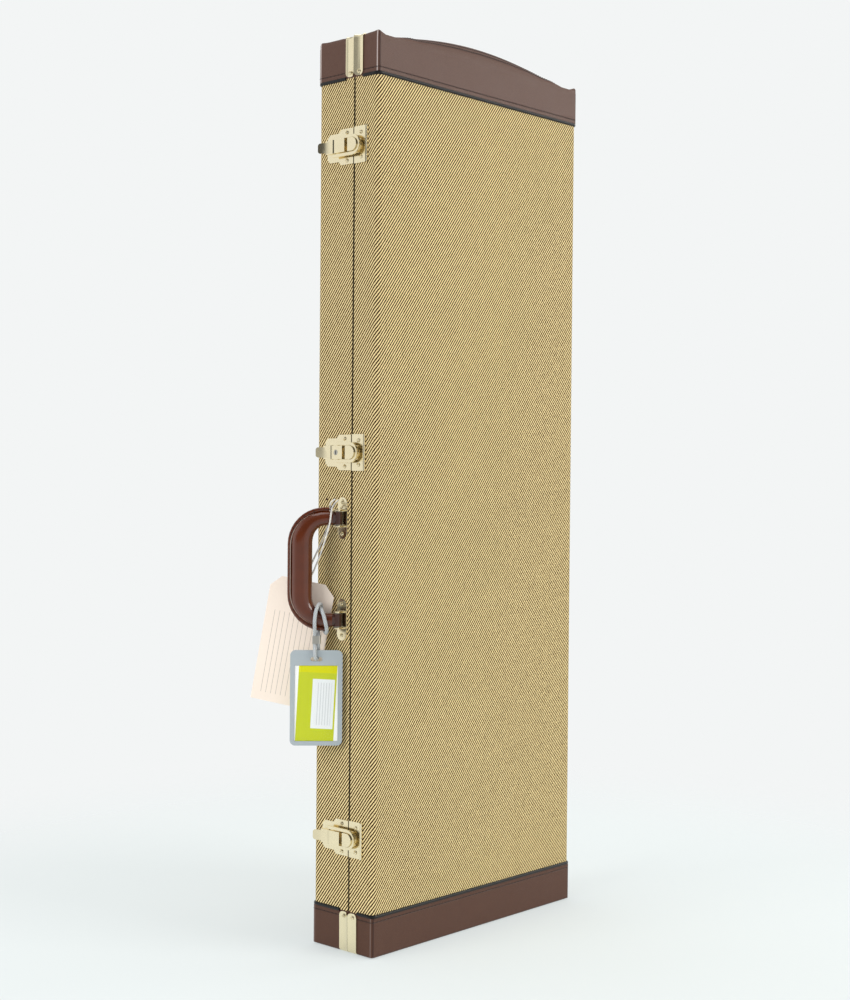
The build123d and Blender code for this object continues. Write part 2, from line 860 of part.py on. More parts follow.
def handle_grip():
    """The stitched leather round the core: slim arms, a full grip and a sewn flange outside."""
    way = handle_way(eye_radius + 1, grip_centre, arm_spacing / 2, corner_radius)
    with BuildPart() as grip:
        for step in range(grip_sections + 1):
            share = step / grip_sections
            thick, wide = grip_section(share)
            with BuildSketch(Plane(way @ share, x_dir=handle_plane.z_dir, z_dir=way % share)):
                Ellipse(thick / 2, wide / 2)
        loft()
        out = grip_centre + grip_wide / 2 + flange_wide / 2 - flange_sink
        half = arm_spacing / 2 + arm_thick / 2 + flange_wide / 2 - flange_sink
        edge = handle_way(eye_radius + flange_wide, out, half, corner_radius + grip_wide / 2)
        with BuildSketch(Plane(edge @ 0, x_dir=handle_plane.z_dir, z_dir=edge % 0)):
            RectangleRounded(flange_thick, flange_wide, flange_thick * 0.45)
        sweep(path=edge)
        add(handle_core().part, mode=Mode.SUBTRACT)
    return grip


# ---------------------------------------------------------------- tags
slant = radians(paper_slope)
paper_plane = Plane(
    origin=handle_plane.origin + handle_plane.z_dir * paper_offset,
    x_dir=handle_plane.x_dir * cos(slant) + handle_plane.z_dir * sin(slant),
    z_dir=handle_plane.z_dir * cos(slant) - handle_plane.x_dir * sin(slant),
)
tag_plane = Plane(
    origin=handle_plane.origin + handle_plane.z_dir * sleeve_offset,
    x_dir=handle_plane.x_dir,
    z_dir=handle_plane.z_dir,
)
slot_along = sleeve_inner_edge + sleeve[0] / 2


def paper_tag():
    """A stiff paper shipping tag with clipped corners and a hole."""
    with BuildPart() as tag:
        with BuildSketch(paper_plane) as sheet:
            with Locations(Location((*paper_middle, 0), (0, 0, paper_turn))):
                Rectangle(paper[0], paper[1])
            chamfer(sheet.vertices().sort_by(Axis.Y)[-2:], paper_chamfer)
            with Locations(Location((*paper_middle, 0), (0, 0, paper_turn))):
                with Locations((0, paper[1] / 2 - paper_hole_inset)):
                    Circle(paper_hole_radius, mode=Mode.SUBTRACT)
        extrude(amount=paper[2])
    return tag


def tag_sleeve():
    """The clear sleeve: two skins welded round a pocket, with a slot for the cord."""
    middle = sleeve_top - sleeve[1] / 2
    with BuildPart() as pouch:
        with BuildSketch(tag_plane.offset(-sleeve[2] / 2)):
            with Locations((slot_along, middle)):
                RectangleRounded(sleeve[0], sleeve[1], sleeve_corner)
            with Locations((slot_along, sleeve_top - slot_drop)):
                SlotOverall(*slot_size, mode=Mode.SUBTRACT)
        extrude(amount=sleeve[2])
        with BuildSketch(tag_plane.offset(-card[2] / 2)):
            with Locations((slot_along, sleeve_top - card_drop - card[1] / 2)):
                Rectangle(card[0], card[1])
        extrude(amount=card[2], mode=Mode.SUBTRACT)
    return pouch


def tag_card():
    with BuildPart() as insert:
        with BuildSketch(tag_plane.offset(-card[2] / 2)):
            with Locations((slot_along, sleeve_top - card_drop - card[1] / 2)):
                Rectangle(card[0], card[1])
        extrude(amount=card[2])
    return insert


def tag_crimp():
    """The pressed metal clip that holds the loop's two strands side by side."""
    across = 2 * (loop_radius + crimp_ease)
    place = tag_plane * Location((slot_along, crimp_bottom, 0), (90, 0, 0))
    with BuildPart() as clip:
        with BuildSketch(Plane(place)):
            RectangleRounded(crimp_size[0], crimp_size[1], crimp_size[1] * 0.35)
            SlotOverall(strand_spacing + across, across, mode=Mode.SUBTRACT)
        extrude(amount=-crimp_size[2])
    return clip


def cord(name, points, radius):
    """A tube along a route of straight runs and tangent arcs, in the handle's frame."""
    places = [handle_plane.from_local_coords(point) for point in points]
    radii = []
    for before, here, after in zip(places, places[1:], places[2:]):
        turn = radians((here - before).get_angle(after - here))
        radii.append(0.45 * min((here - before).length, (after - here).length) / tan(turn / 2))
    print(name, "bend radii in diameters:", [round(bend / (2 * radius), 1) for bend in radii])
    with BuildPart() as tube:
        with BuildLine() as route:
            FilletPolyline(*places, radius=radii)
        way = route.wire()
        with BuildSketch(Plane(way @ 0, z_dir=way % 0)):
            Circle(radius)
        sweep(path=way)
    print(name, "length", round(way.length, 1))
    return tube


near, far = slot_along - strand_spacing / 2, slot_along + strand_spacing / 2
loop_points = (
    (near, crimp_bottom + 5.0, sleeve_offset),
    (near, crimp_bottom + 10.8, sleeve_offset + 0.3),
    (20.8, -69.8, 4.8),
    (21.6, -62.0, 9.4),
    (22.4, -52.2, 10.6),
    (21.6, -44.2, 6.8),
    (18.4, -42.6, -2.2),
    (15.4, -48.2, -9.6),
    (12.8, -58.2, -10.6),
    (11.0, -66.8, -7.4),
    (12.0, -72.2, 0.0),
    (15.0, -67.4, 7.0),
    (16.8, -59.4, 10.4),
    (17.0, -49.4, 10.6),
    (17.4, -41.0, 7.2),
    (19.0, -37.8, 0.0),
    (22.0, -41.0, -7.4),
    (24.2, -49.2, -11.0),
    (24.8, -59.4, -11.0),
    (far, -66.4, -7.8),
    (far, crimp_bottom + 10.8, sleeve_offset - 0.3),
    (far, crimp_bottom - 1.8, sleeve_offset - 0.2),
    (far, sleeve_top + 0.6, sleeve_offset - 4.6),
    (slot_along + 1.2, sleeve_top - slot_drop, sleeve_offset - 4.0),
    (slot_along - 1.2, sleeve_top - slot_drop, sleeve_offset + 4.0),
    (near, sleeve_top + 0.6, sleeve_offset + 4.6),
    (near, crimp_bottom - 1.8, sleeve_offset + 0.2),
    (near, crimp_bottom + 3.4, sleeve_offset),
)
string_points = (
    (-0.5, 76.7, 4.6),
    (4.0, 72.7, 3.4),
    (6.2, 68.4, 0.2),
    (6.8, 65.6, -4.4),
    (7.6, 60.7, -8.6),
    (8.6, 51.2, -9.2),
    (13.0, 35.2, -5.5),
    (19.0, 16.2, 1.0),
    (26.0, -1.8, 8.6),
    (32.5, -14.8, 12.8),
    (37.6, -22.6, 14.0),
    (40.2, -26.4, 16.2),
    (39.6, -26.8, 20.6),
    (38.4, -21.6, 21.6),
    (36.2, -11.2, 19.0),
    (31.0, 0.7, 13.2),
    (24.5, 15.2, 9.0),
    (17.5, 30.2, 8.6),
    (12.5, 43.2, 9.6),
    (9.0, 55.2, 9.9),
    (8.2, 63.4, 8.6),
    (8.4, 69.0, 5.4),
    (8.6, 72.4, 0.2),
    (7.0, 75.2, -3.6),
    (3.0, 77.8, -6.0),
)


os.makedirs("parts", exist_ok=True)
for half, outer, places in (("base", base_back, base_screw_places), ("lid", lid_face, lid_screw_places)):
    keep(f"{half}_face_panel", face_panel(outer))
    keep(f"{half}_latch_side_board", side_board(outer, -1, places))
    keep(f"{half}_hinge_side_board", side_board(outer, 1, places))
    keep(f"{half}_foot_board", end_board(outer, (end_sheet, end_wall)))
    keep(f"{half}_head_board", end_board(outer, (head - end_wall, head - end_sheet)))
    keep(f"{half}_tweed", tweed(outer, places))
    keep(f"{half}_leather_bands", leather_bands(outer, places))
    keep(f"{half}_foot_cap", end_cap(outer, False))
    keep(f"{half}_head_cap", end_cap(outer, True))
    keep(f"{half}_piping", piping(outer))
    keep(f"{half}_guards", guards(outer))
    keep(f"{half}_lining", lining(outer))
    keep(f"{half}_hinge_leaves", hinge_leaves(outer, places))
    keep(f"{half}_screws", screws(places))
keep("foot_bolster", foot_bolster())
keep("waist_bolsters", waist_bolsters())
keep("neck_rest", neck_block(well_end, neck_rest))
keep("head_rest", neck_block(head_rest_height, head_rest))
keep("filler_block", block(box_low, box_high, -well_half_width, -neck_channel / 2, block_face))
keep("accessory_box", accessory_box())
keep("accessory_lid", accessory_lid())
keep("accessory_tab", pull_tab())
keep("lid_foam", lid_foam())
keep("hinge_pins", hinge_pins())
keep("latch_plates", latch_plates(base_screw_places))
keep("lever_pins", lever_pins())
keep("keepers", keepers(lid_screw_places))
for name, height in zip(("foot", "middle", "head"), latch_heights):
    keep(f"{name}_lever", lever(height, name == "middle"))
    keep(f"{name}_bail", bail(height))
keep("lock_plug", lock_plug(latch_heights[1]))
keep("handle_brackets", brackets(base_screw_places))
keep("handle_core", handle_core())
keep("handle_grip", handle_grip())
keep("paper_tag", paper_tag())
keep("tag_sleeve", tag_sleeve())
keep("tag_card", tag_card())
keep("tag_loop", cord("tag_loop", loop_points, loop_radius))
keep("tag_crimp", tag_crimp())
keep("tag_string", cord("tag_string", string_points, string_radius))
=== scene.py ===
"""The visible finish of a hard guitar case: tweed cloth, leather ends, gilt hardware and plush.

The object stands on its body end. X runs from the latches to the hinges, Y from the lid's face to
the base's back and Z up its length. Lengths are metres, and MM turns millimetres into them.
"""

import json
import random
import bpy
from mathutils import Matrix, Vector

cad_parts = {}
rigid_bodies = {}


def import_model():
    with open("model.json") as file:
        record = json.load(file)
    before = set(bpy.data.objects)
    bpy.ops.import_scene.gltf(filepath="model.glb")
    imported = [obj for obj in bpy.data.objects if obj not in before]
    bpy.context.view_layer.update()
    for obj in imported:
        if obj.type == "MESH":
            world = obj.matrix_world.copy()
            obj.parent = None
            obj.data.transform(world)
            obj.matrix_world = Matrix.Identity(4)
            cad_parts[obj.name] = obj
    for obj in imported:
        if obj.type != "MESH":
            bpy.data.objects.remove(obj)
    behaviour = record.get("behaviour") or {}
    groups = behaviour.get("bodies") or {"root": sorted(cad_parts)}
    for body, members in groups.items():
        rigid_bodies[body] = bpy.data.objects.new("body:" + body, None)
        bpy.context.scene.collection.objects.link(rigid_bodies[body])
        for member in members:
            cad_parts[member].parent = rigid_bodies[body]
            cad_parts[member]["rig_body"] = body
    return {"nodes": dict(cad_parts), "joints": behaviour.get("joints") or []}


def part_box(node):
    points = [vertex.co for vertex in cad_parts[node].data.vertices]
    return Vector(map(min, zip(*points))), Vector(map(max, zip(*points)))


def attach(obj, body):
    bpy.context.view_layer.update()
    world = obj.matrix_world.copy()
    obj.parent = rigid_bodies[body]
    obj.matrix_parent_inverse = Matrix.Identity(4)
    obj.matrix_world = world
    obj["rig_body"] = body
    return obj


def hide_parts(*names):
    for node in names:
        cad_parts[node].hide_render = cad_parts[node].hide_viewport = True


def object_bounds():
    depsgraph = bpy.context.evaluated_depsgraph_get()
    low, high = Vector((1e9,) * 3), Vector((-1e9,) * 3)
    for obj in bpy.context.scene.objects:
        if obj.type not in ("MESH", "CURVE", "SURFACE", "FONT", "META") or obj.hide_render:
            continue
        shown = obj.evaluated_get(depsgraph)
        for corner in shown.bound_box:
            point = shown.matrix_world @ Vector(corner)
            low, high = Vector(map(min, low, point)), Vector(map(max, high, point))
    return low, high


bl_info = {
    "name": "Tweed Guitar Case",
    "version": (1, 0, 0),
    "blender": (4, 5, 0),
    "location": "3D View > Sidebar > Guitar Case",
    "description": "Finishes a hard guitar case in cloth, leather, gilt metal and plush",
    "category": "Object",
}

from math import cos, pi, radians, sin

import bmesh
import bpy
from mathutils import Matrix, Vector
from mathutils.bvhtree import BVHTree

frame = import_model()
CAD_LOW, CAD_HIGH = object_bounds()
MM = 0.001
X, Y, Z = Vector((1, 0, 0)), Vector((0, 1, 0)), Vector((0, 0, 1))
HALVES = ("base", "lid")


# ---------------------------------------------------------------- the frame's own places
def framed(place, x, y, z):
    """A matrix at a place with these axes."""
    return Matrix.Translation(place) @ Matrix((x, y, z)).transposed().to_4x4()


def shifted(x, y, z):
    """A move in millimetres."""
    return Matrix.Translation((x * MM, y * MM, z * MM))


def section(wide, deep):
    """The size of a tube's section across its way, from its middle, in millimetres."""
    return Matrix.Diagonal((wide * MM, deep * MM, 1, 1))


def bounds_of(points):
    """The lowest and highest corner of the box round some points."""
    return [Vector([choose(point[i] for point in points) for i in range(3)]) for choose in (min, max)]


def middle_of(*nodes):
    """The middle of the box round these nodes."""
    low, high = bounds_of([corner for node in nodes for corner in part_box(node)])
    return (low + high) / 2


def joint_place(name):
    """Where a joint stands at rest."""
    return Vector(next(joint["pos_m"] for joint in frame["joints"] if joint["name"] == name))


COVER_LOW, COVER_HIGH = bounds_of([*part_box("lid_tweed"), *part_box("base_tweed")])
SEAM = (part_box("lid_tweed")[1].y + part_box("base_tweed")[0].y) / 2
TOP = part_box("base_leather_bands")[1].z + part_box("base_foot_cap")[1].z  # the head end, without its crown
BAND = COVER_LOW.z  # the height of the leather at each end
EDGE = 6.5 * MM  # the rounded long edges
FOLD = 2.4 * MM  # the leather's own fold over them
HEAD_CAPS = {half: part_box(half + "_head_cap") for half in HALVES}
CROWN_FOOT = TOP - 5.6 * MM  # where the leather at the head starts to roll over
CROWN_SPAN = 135 * MM  # from the middle of the crown to the guards at its ends
CROWN_ROWS = (2.6, 4.8)  # millimetres from the outer face to each row of stitches
GUARD_REACH = 14 * MM  # from the mouth to the guards' outer edge
LEVER_PIVOT = joint_place("middle_lever_lift").y
LEVER_FACE = COVER_LOW.x - 10.2 * MM  # the levers' outer face
HANDLE_AXIS = joint_place("handle_swing")
HANDLE_LEAN = radians(135)
GRIP_OUT, GRIP_HALF, GRIP_BEND = 39.5, 56.5, 27  # millimetres out, to each leg, and round its bends
# the handle's own frame: X out along the grip's legs, Y up between them and Z off its plane
HANDLE = framed(
    (HANDLE_AXIS.x, HANDLE_AXIS.y, middle_of("handle_brackets").z),
    (cos(HANDLE_LEAN), sin(HANDLE_LEAN), 0),
    Z,
    (sin(HANDLE_LEAN), -cos(HANDLE_LEAN), 0),
)


# ---------------------------------------------------------------- colours and sizes that a user sets
def linear(code):
    """An sRGB hex colour as linear red, green, blue and alpha."""
    parts = [int(code[i : i + 2], 16) / 255 for i in (1, 3, 5)]
    return (*(c / 12.92 if c <= 0.04045 else ((c + 0.055) / 1.055) ** 2.4 for c in parts), 1.0)


def length(name, description, size):
    """A size that a user sets, with its default in millimetres."""
    return bpy.props.FloatProperty(
        name=name, description=description, default=size * MM, min=0, unit="LENGTH", precision=4
    )


def colour(name, description, code):
    """A colour that a user sets, with its default as an sRGB hex value."""
    return bpy.props.FloatVectorProperty(
        name=name, description=description, default=linear(code), size=4, min=0, max=1, subtype="COLOR"
    )


class CASE_PG_stage(bpy.types.PropertyGroup):
    """The floor, the light and the camera"""

    floor: colour("Floor", "Colour of the floor round the case", "#E2E8E8")
    backdrop: colour("Backdrop", "Colour behind the case", "#F3F5F5")
    camera_place: bpy.props.FloatVectorProperty(
        name="Camera place",
        description="Where the camera stands",
        default=(-1.4405, -1.2696, 0.5337),
        size=3,
        subtype="TRANSLATION",
    )
    camera_turn: bpy.props.FloatVectorProperty(
        name="Camera turn",
        description="The camera's heading from +X, its pitch and its roll",
        default=(radians(42.3135), radians(-0.944), radians(0.489)),
        size=3,
        subtype="EULER",
    )
    lens: bpy.props.FloatProperty(
        name="Lens", description="Focal length in millimetres", default=57.94, min=1, unit="CAMERA"
    )
    sky: bpy.props.FloatProperty(
        name="Room light", description="Strength of the light from all round", default=0.68, min=0
    )


class CASE_PG_cloth(bpy.types.PropertyGroup):
    """The woven cover"""

    light: colour("Light thread", "Colour of the cream stripes", "#FFE6AA")
    amber: colour("Amber thread", "Colour between the stripes, where lacquer pools", "#7E3F02")
    dark: colour("Dark thread", "Colour of the brown stripes", "#201000")
    pitch: length("Stripe pitch", "From one stripe to the next, straight across them", 3.0)
    angle: bpy.props.FloatProperty(
        name="Stripe angle",
        description="How steeply the stripes rise",
        default=radians(52),
        subtype="ANGLE",
    )
    thread: length("Thread spacing", "Width of one upright thread", 0.64)
    turned_edge: length("Turned edge", "Radius where the cloth folds over the rim", 1.5)


class CASE_PG_leather(bpy.types.PropertyGroup):
    """The leather round both ends and its stitches"""

    hide: colour("Leather", "Colour of the leather at the foot", "#513528")
    # painted light: the same leather as at the foot, painted paler at the head where more light falls
    washed: colour("Washed leather", "Colour of the leather at the head", "#583F35")
    thread: colour("Thread", "Colour of the stitches", "#2C1A14")
    piping: colour("Piping", "Colour of the welt between leather and cloth", "#0C0C0C")
    stitch_inset: length("Stitch line", "From the welt's middle to the stitches", 6.4)
    stitch_pitch: length("Stitch pitch", "From one stitch to the next", 6.0)
    stitch_length: length("Stitch length", "Length of one stitch", 4.2)


class CASE_PG_metal(bpy.types.PropertyGroup):
    """The gilt hardware"""

    gilt: colour("Gilt", "Colour of the pale gilt plating", "#F5E8C4")
    steel: colour("Steel", "Colour of the bare pins", "#C8C6BE")
    edge: length("Edge radius", "How round the stamped edges are", 0.5)
    slot: length("Screw slot", "Width of the slot in a screw's head", 0.7)


class CASE_PG_handle(bpy.types.PropertyGroup):
    """The stitched handle"""

    hide: colour("Handle leather", "Colour of the grip", "#54230B")
    keeper: colour("Keeper leather", "Colour of the wraps at the grip's ends", "#3A180C")
    stitch_pitch: length("Handle stitches", "From one stitch to the next on the flange", 4.2)


class CASE_PG_tags(bpy.types.PropertyGroup):
    """The two tags, their cord and their string"""

    paper: colour("Paper", "Colour of the paper tag", "#F8EADC")
    rule: colour("Ruled lines", "Colour of the lines printed on it", "#8C8078")
    vinyl: colour("Vinyl", "Colour of the sleeve", "#A4AEB3")
    card: colour("Card", "Colour of the card in the sleeve", "#BEC828")
    card_head: colour("Card's edge", "Colour of the strip along the card's top", "#D2D204")
    cord: colour("Cord", "Colour of the braided cord", "#C6CCCF")
    string: colour("String", "Colour of the paper tag's string", "#FFFAF0")


class CASE_PG_inside(bpy.types.PropertyGroup):
    """The plush and the boards"""

    plush: colour("Plush", "Colour of the pile", "#6B1420")
    ribbon: colour("Ribbon", "Colour of the pull tab", "#1C1A1B")
    ply: colour("Plywood", "Colour of the boards' edges", "#C9A877")
    pile: length("Pile", "Size of the tufts in the pile", 1.6)


GROUPS = {
    "case_stage": CASE_PG_stage,
    "case_cloth": CASE_PG_cloth,
    "case_leather": CASE_PG_leather,
    "case_metal": CASE_PG_metal,
    "case_handle": CASE_PG_handle,
    "case_tags": CASE_PG_tags,
    "case_inside": CASE_PG_inside,
}


# ---------------------------------------------------------------- material nodes
# how these kinds of node are set unless a call says otherwise, and how a MapRange eases its ends
USUAL = {"TexNoise": {"noise_dimensions": "4D"}, "Mix": {"data_type": "RGBA"}}
SMOOTH = {"interpolation_type": "SMOOTHSTEP"}


def add(tree, kind, inputs=None, out=0, **settings):
    """Adds a node with its settings and links, and gives its output."""
    made = tree.nodes.new("ShaderNode" + kind)
    for key, value in {**USUAL.get(kind, {}), **settings}.items():
        setattr(made, key, value)
    for key, value in (inputs or {}).items():
        if isinstance(value, bpy.types.NodeSocket):
            tree.links.new(value, made.inputs[key])
        else:
            made.inputs[key].default_value = value
    return made.outputs[out] if made.outputs else made


def finish(name):
    """A new material and its empty node tree."""
    made = bpy.data.materials.new(name)
    made.use_nodes = True
    made.node_tree.nodes.clear()
    return made, made.node_tree


def millimetres(tree):
    """Object coordinates in millimetres, so a pattern's scale is one over its size in millimetres."""
    place = add(tree, "TexCoord", out="Object")
    return add(tree, "VectorMath", {0: place, "Scale": 1 / MM}, operation="SCALE")


def map_axes(tree, name):
    """The two directions of a piece's own UV map."""
    place = add(tree, "UVMap", uv_map=name)
    return [add(tree, "SeparateXYZ", {0: place}, out=axis) for axis in (0, 1)]


def along(tree, place, direction, origin=(0, 0, 0)):
    """How far a place lies from an origin along a direction."""
    away = add(tree, "VectorMath", {0: place, 1: Vector(origin) / MM}, operation="SUBTRACT")
    return add(tree, "VectorMath", {0: away, 1: direction}, out="Value", operation="DOT_PRODUCT")


def within(tree, value, low, high, soft):
    """1 where a value lies between two limits, with soft edges."""
    rise = add(tree, "MapRange", {0: value, 1: low - soft, 2: low + soft}, **SMOOTH)
    fall = add(tree, "MapRange", {0: value, 1: high - soft, 2: high + soft, 3: 1, 4: 0}, **SMOOTH)
    return add(tree, "Math", {0: rise, 1: fall}, operation="MULTIPLY")


def panel(tree, soft, wide, tall):
    """1 inside a rectangle, given as two values with their low and high limits."""
    sides = [within(tree, value, low, high, soft) for value, low, high in (wide, tall)]
    return add(tree, "Math", {0: sides[0], 1: sides[1]}, operation="MULTIPLY")


def tinted(tree, base, share, dark=0.8, light=1.1):
    """A colour that a pattern darkens and lightens a little."""
    low = [c * dark for c in base[:3]] + [1]
    high = [min(c * light, 1) for c in base[:3]] + [1]
    return add(tree, "Mix", {0: share, 6: low, 7: high}, out=2)


def scaled(tree, colour, share, low, high):
    """A colour made darker or lighter by a share that runs between two strengths."""
    strength = add(tree, "MapRange", {0: share, 3: low, 4: high})
    return add(tree, "VectorMath", {0: colour, "Scale": strength}, operation="SCALE")


def overlaid(tree, colour, over, share, most=1.0, least=0.0):
    """A colour with another over it, as far as a share allows."""
    cover = add(tree, "MapRange", {0: share, 3: least, 4: most})
    return add(tree, "Mix", {0: cover, 6: colour, 7: over}, out=2)


def seen(tree):
    """1 for the rays that meet the plain backdrop: the camera's, and those off gloss and through glass."""
    share = 0.0
    for ray in ("Is Camera Ray", "Is Glossy Ray", "Is Transmission Ray"):
        share = add(tree, "Math", {0: share, 1: add(tree, "LightPath", out=ray)}, operation="MAXIMUM")
    return share


def shade(made, inputs):
    """Gives a material its surface, and returns it."""
    tree = made.node_tree
    add(tree, "OutputMaterial", {"Surface": add(tree, "BsdfPrincipled", inputs)})
    return made


def lacquered_tweed(half):
    """Cotton twill under clear lacquer: stepped upright threads in slanted cream and brown stripes."""
    cloth = bpy.context.scene.case_cloth
    made, tree = finish("lacquered_cotton_tweed_" + half)
    place = millimetres(tree)
    across, depth, level = [along(tree, place, axis) for axis in (X, Y, Z)]
    sign = 1 if half == "lid" else -1
    # the cloth runs from the mouth up the latch side, across the face and down the hinge side
    fold = EDGE / MM
    flat = COVER_HIGH.x / MM - fold
    deep = abs(COVER_LOW.y if half == "lid" else COVER_HIGH.y) / MM - fold
    outward = add(tree, "Math", {0: depth, 1: -sign}, operation="MULTIPLY")
    on_face = add(tree, "Clamp", {0: across, 1: -flat, 2: flat})
    on_side = add(tree, "Math", {0: outward, 1: deep}, operation="MINIMUM")
    # how far round the folded edge a place lies, from how far past both flats it is
    past = []
    for value, limit in ((add(tree, "Math", {0: across}, operation="ABSOLUTE"), flat), (outward, deep)):
        beyond = add(tree, "Math", {0: value, 1: limit}, operation="SUBTRACT")
        past.append(add(tree, "Math", {0: beyond, 1: 0}, operation="MAXIMUM"))
    bend = add(tree, "Math", {0: past[0], 1: past[1]}, operation="ARCTAN2")
    near = add(tree, "Math", {0: bend, 1: -fold, 2: on_side}, operation="MULTIPLY_ADD")
    far = add(tree, "Math", {0: 2 * deep, 1: near}, operation="SUBTRACT")
    by_hinges = add(tree, "Math", {0: across, 1: 0}, operation="GREATER_THAN")
    run = add(tree, "Mix", {0: by_hinges, 2: near, 3: far}, data_type="FLOAT")
    run = add(tree, "Math", {0: run, 1: on_face}, operation="ADD")
    run = add(tree, "Math", {0: run, 1: sign}, operation="MULTIPLY")
    # each upright thread floats over a few crossing ones, so a stripe is a row of short steps
    thread = cloth.thread / MM
    column = add(tree, "Math", {0: run, 1: thread}, operation="DIVIDE")
    part = add(tree, "Math", {0: column}, operation="FRACT")
    stepped = add(tree, "Math", {0: column}, operation="FLOOR")
    stepped = add(tree, "Math", {0: stepped, 1: thread}, operation="MULTIPLY")
    # the threads run a little unevenly, over about two millimetres
    uneven = add(tree, "TexNoise", {"Vector": place, "Scale": 1 / 2.2})
    uneven = add(tree, "MapRange", {0: uneven, 3: -0.3, 4: 0.3})
    stepped = add(tree, "Math", {0: stepped, 1: sin(cloth.angle), 2: uneven}, operation="MULTIPLY_ADD")
    stripe = add(tree, "Math", {0: level, 1: -cos(cloth.angle), 2: stepped}, operation="MULTIPLY_ADD")
    stripe = add(tree, "Math", {0: stripe, 1: cloth.pitch / MM}, operation="DIVIDE")
    # from the middle of a brown stripe (0) to the middle of a cream one (0.5)
    wave = add(tree, "Math", {0: stripe, 1: 0.5}, operation="PINGPONG")
    brown_end, amber_end, cream_start = 0.17, 0.235, 0.29
    cream = add(tree, "MapRange", {0: wave, 1: amber_end, 2: cream_start}, **SMOOTH)
    pooled = add(tree, "MapRange", {0: wave, 1: brown_end, 2: amber_end}, **SMOOTH)
    ridge = add(tree, "Math", {0: part, 1: pi}, operation="MULTIPLY")
    ridge = add(tree, "Math", {0: ridge}, operation="SINE")
    lint = add(tree, "TexNoise", {"Vector": place, "Scale": 1 / 0.7, "Detail": 3})
    soot = add(tree, "TexNoise", {"Vector": place, "W": 3.0, "Scale": 1 / 0.9})
    brown = tinted(tree, cloth.dark, soot, 0.7, 1.5)
    faded = tinted(tree, cloth.light, lint, 0.82, 1.06)
    woven = add(tree, "Mix", {0: pooled, 6: brown, 7: cloth.amber}, out=2)
    woven = add(tree, "Mix", {0: cream, 6: woven, 7: faded}, out=2)
    # painted shade: each upright thread is darkened towards its edges
    woven = scaled(tree, woven, ridge, 0.84, 1.0)
    ageing = add(tree, "TexNoise", {"Vector": place, "W": 7.0, "Scale": 1 / 90})
    woven = scaled(tree, woven, ageing, 0.95, 1.05)
    # painted shade darkens the cloth where it turns in at the mouth
    groove = within(tree, depth, SEAM / MM - 1.3, SEAM / MM + 1.3, 0.4)
    woven = scaled(tree, woven, groove, 1.0, 0.2)
    # an old screw hole above the handle, painted as a dark spot: the shade inside it
    hole_height, hole_share, hole_radius = 77.5 * MM, 0.7, 1.6
    hole = COVER_HIGH.y * hole_share + SEAM * (1 - hole_share)
    hole = Vector((COVER_LOW.x, hole, HANDLE.translation.z + hole_height)) / MM
    hole = add(tree, "VectorMath", {0: place, 1: hole}, out="Value", operation="DISTANCE")
    hole = add(tree, "MapRange", {0: hole, 1: hole_radius - 0.2, 2: hole_radius + 0.2, 3: 1, 4: 0})
    woven = add(tree, "Mix", {0: hole, 6: woven, 7: linear("#34120C")}, out=2)
    height = add(tree, "Math", {0: cream, 1: 0.7, 2: ridge}, operation="MULTIPLY_ADD")
    return shade(
        made,
        {
            "Base Color": woven,
            "Roughness": 0.6,
            "IOR": 1.45,
            "Specular IOR Level": 0.06,
            "Normal": add(tree, "Bump", {"Height": height, "Distance": 0.22 * MM, "Strength": 0.8}),
        },
    )


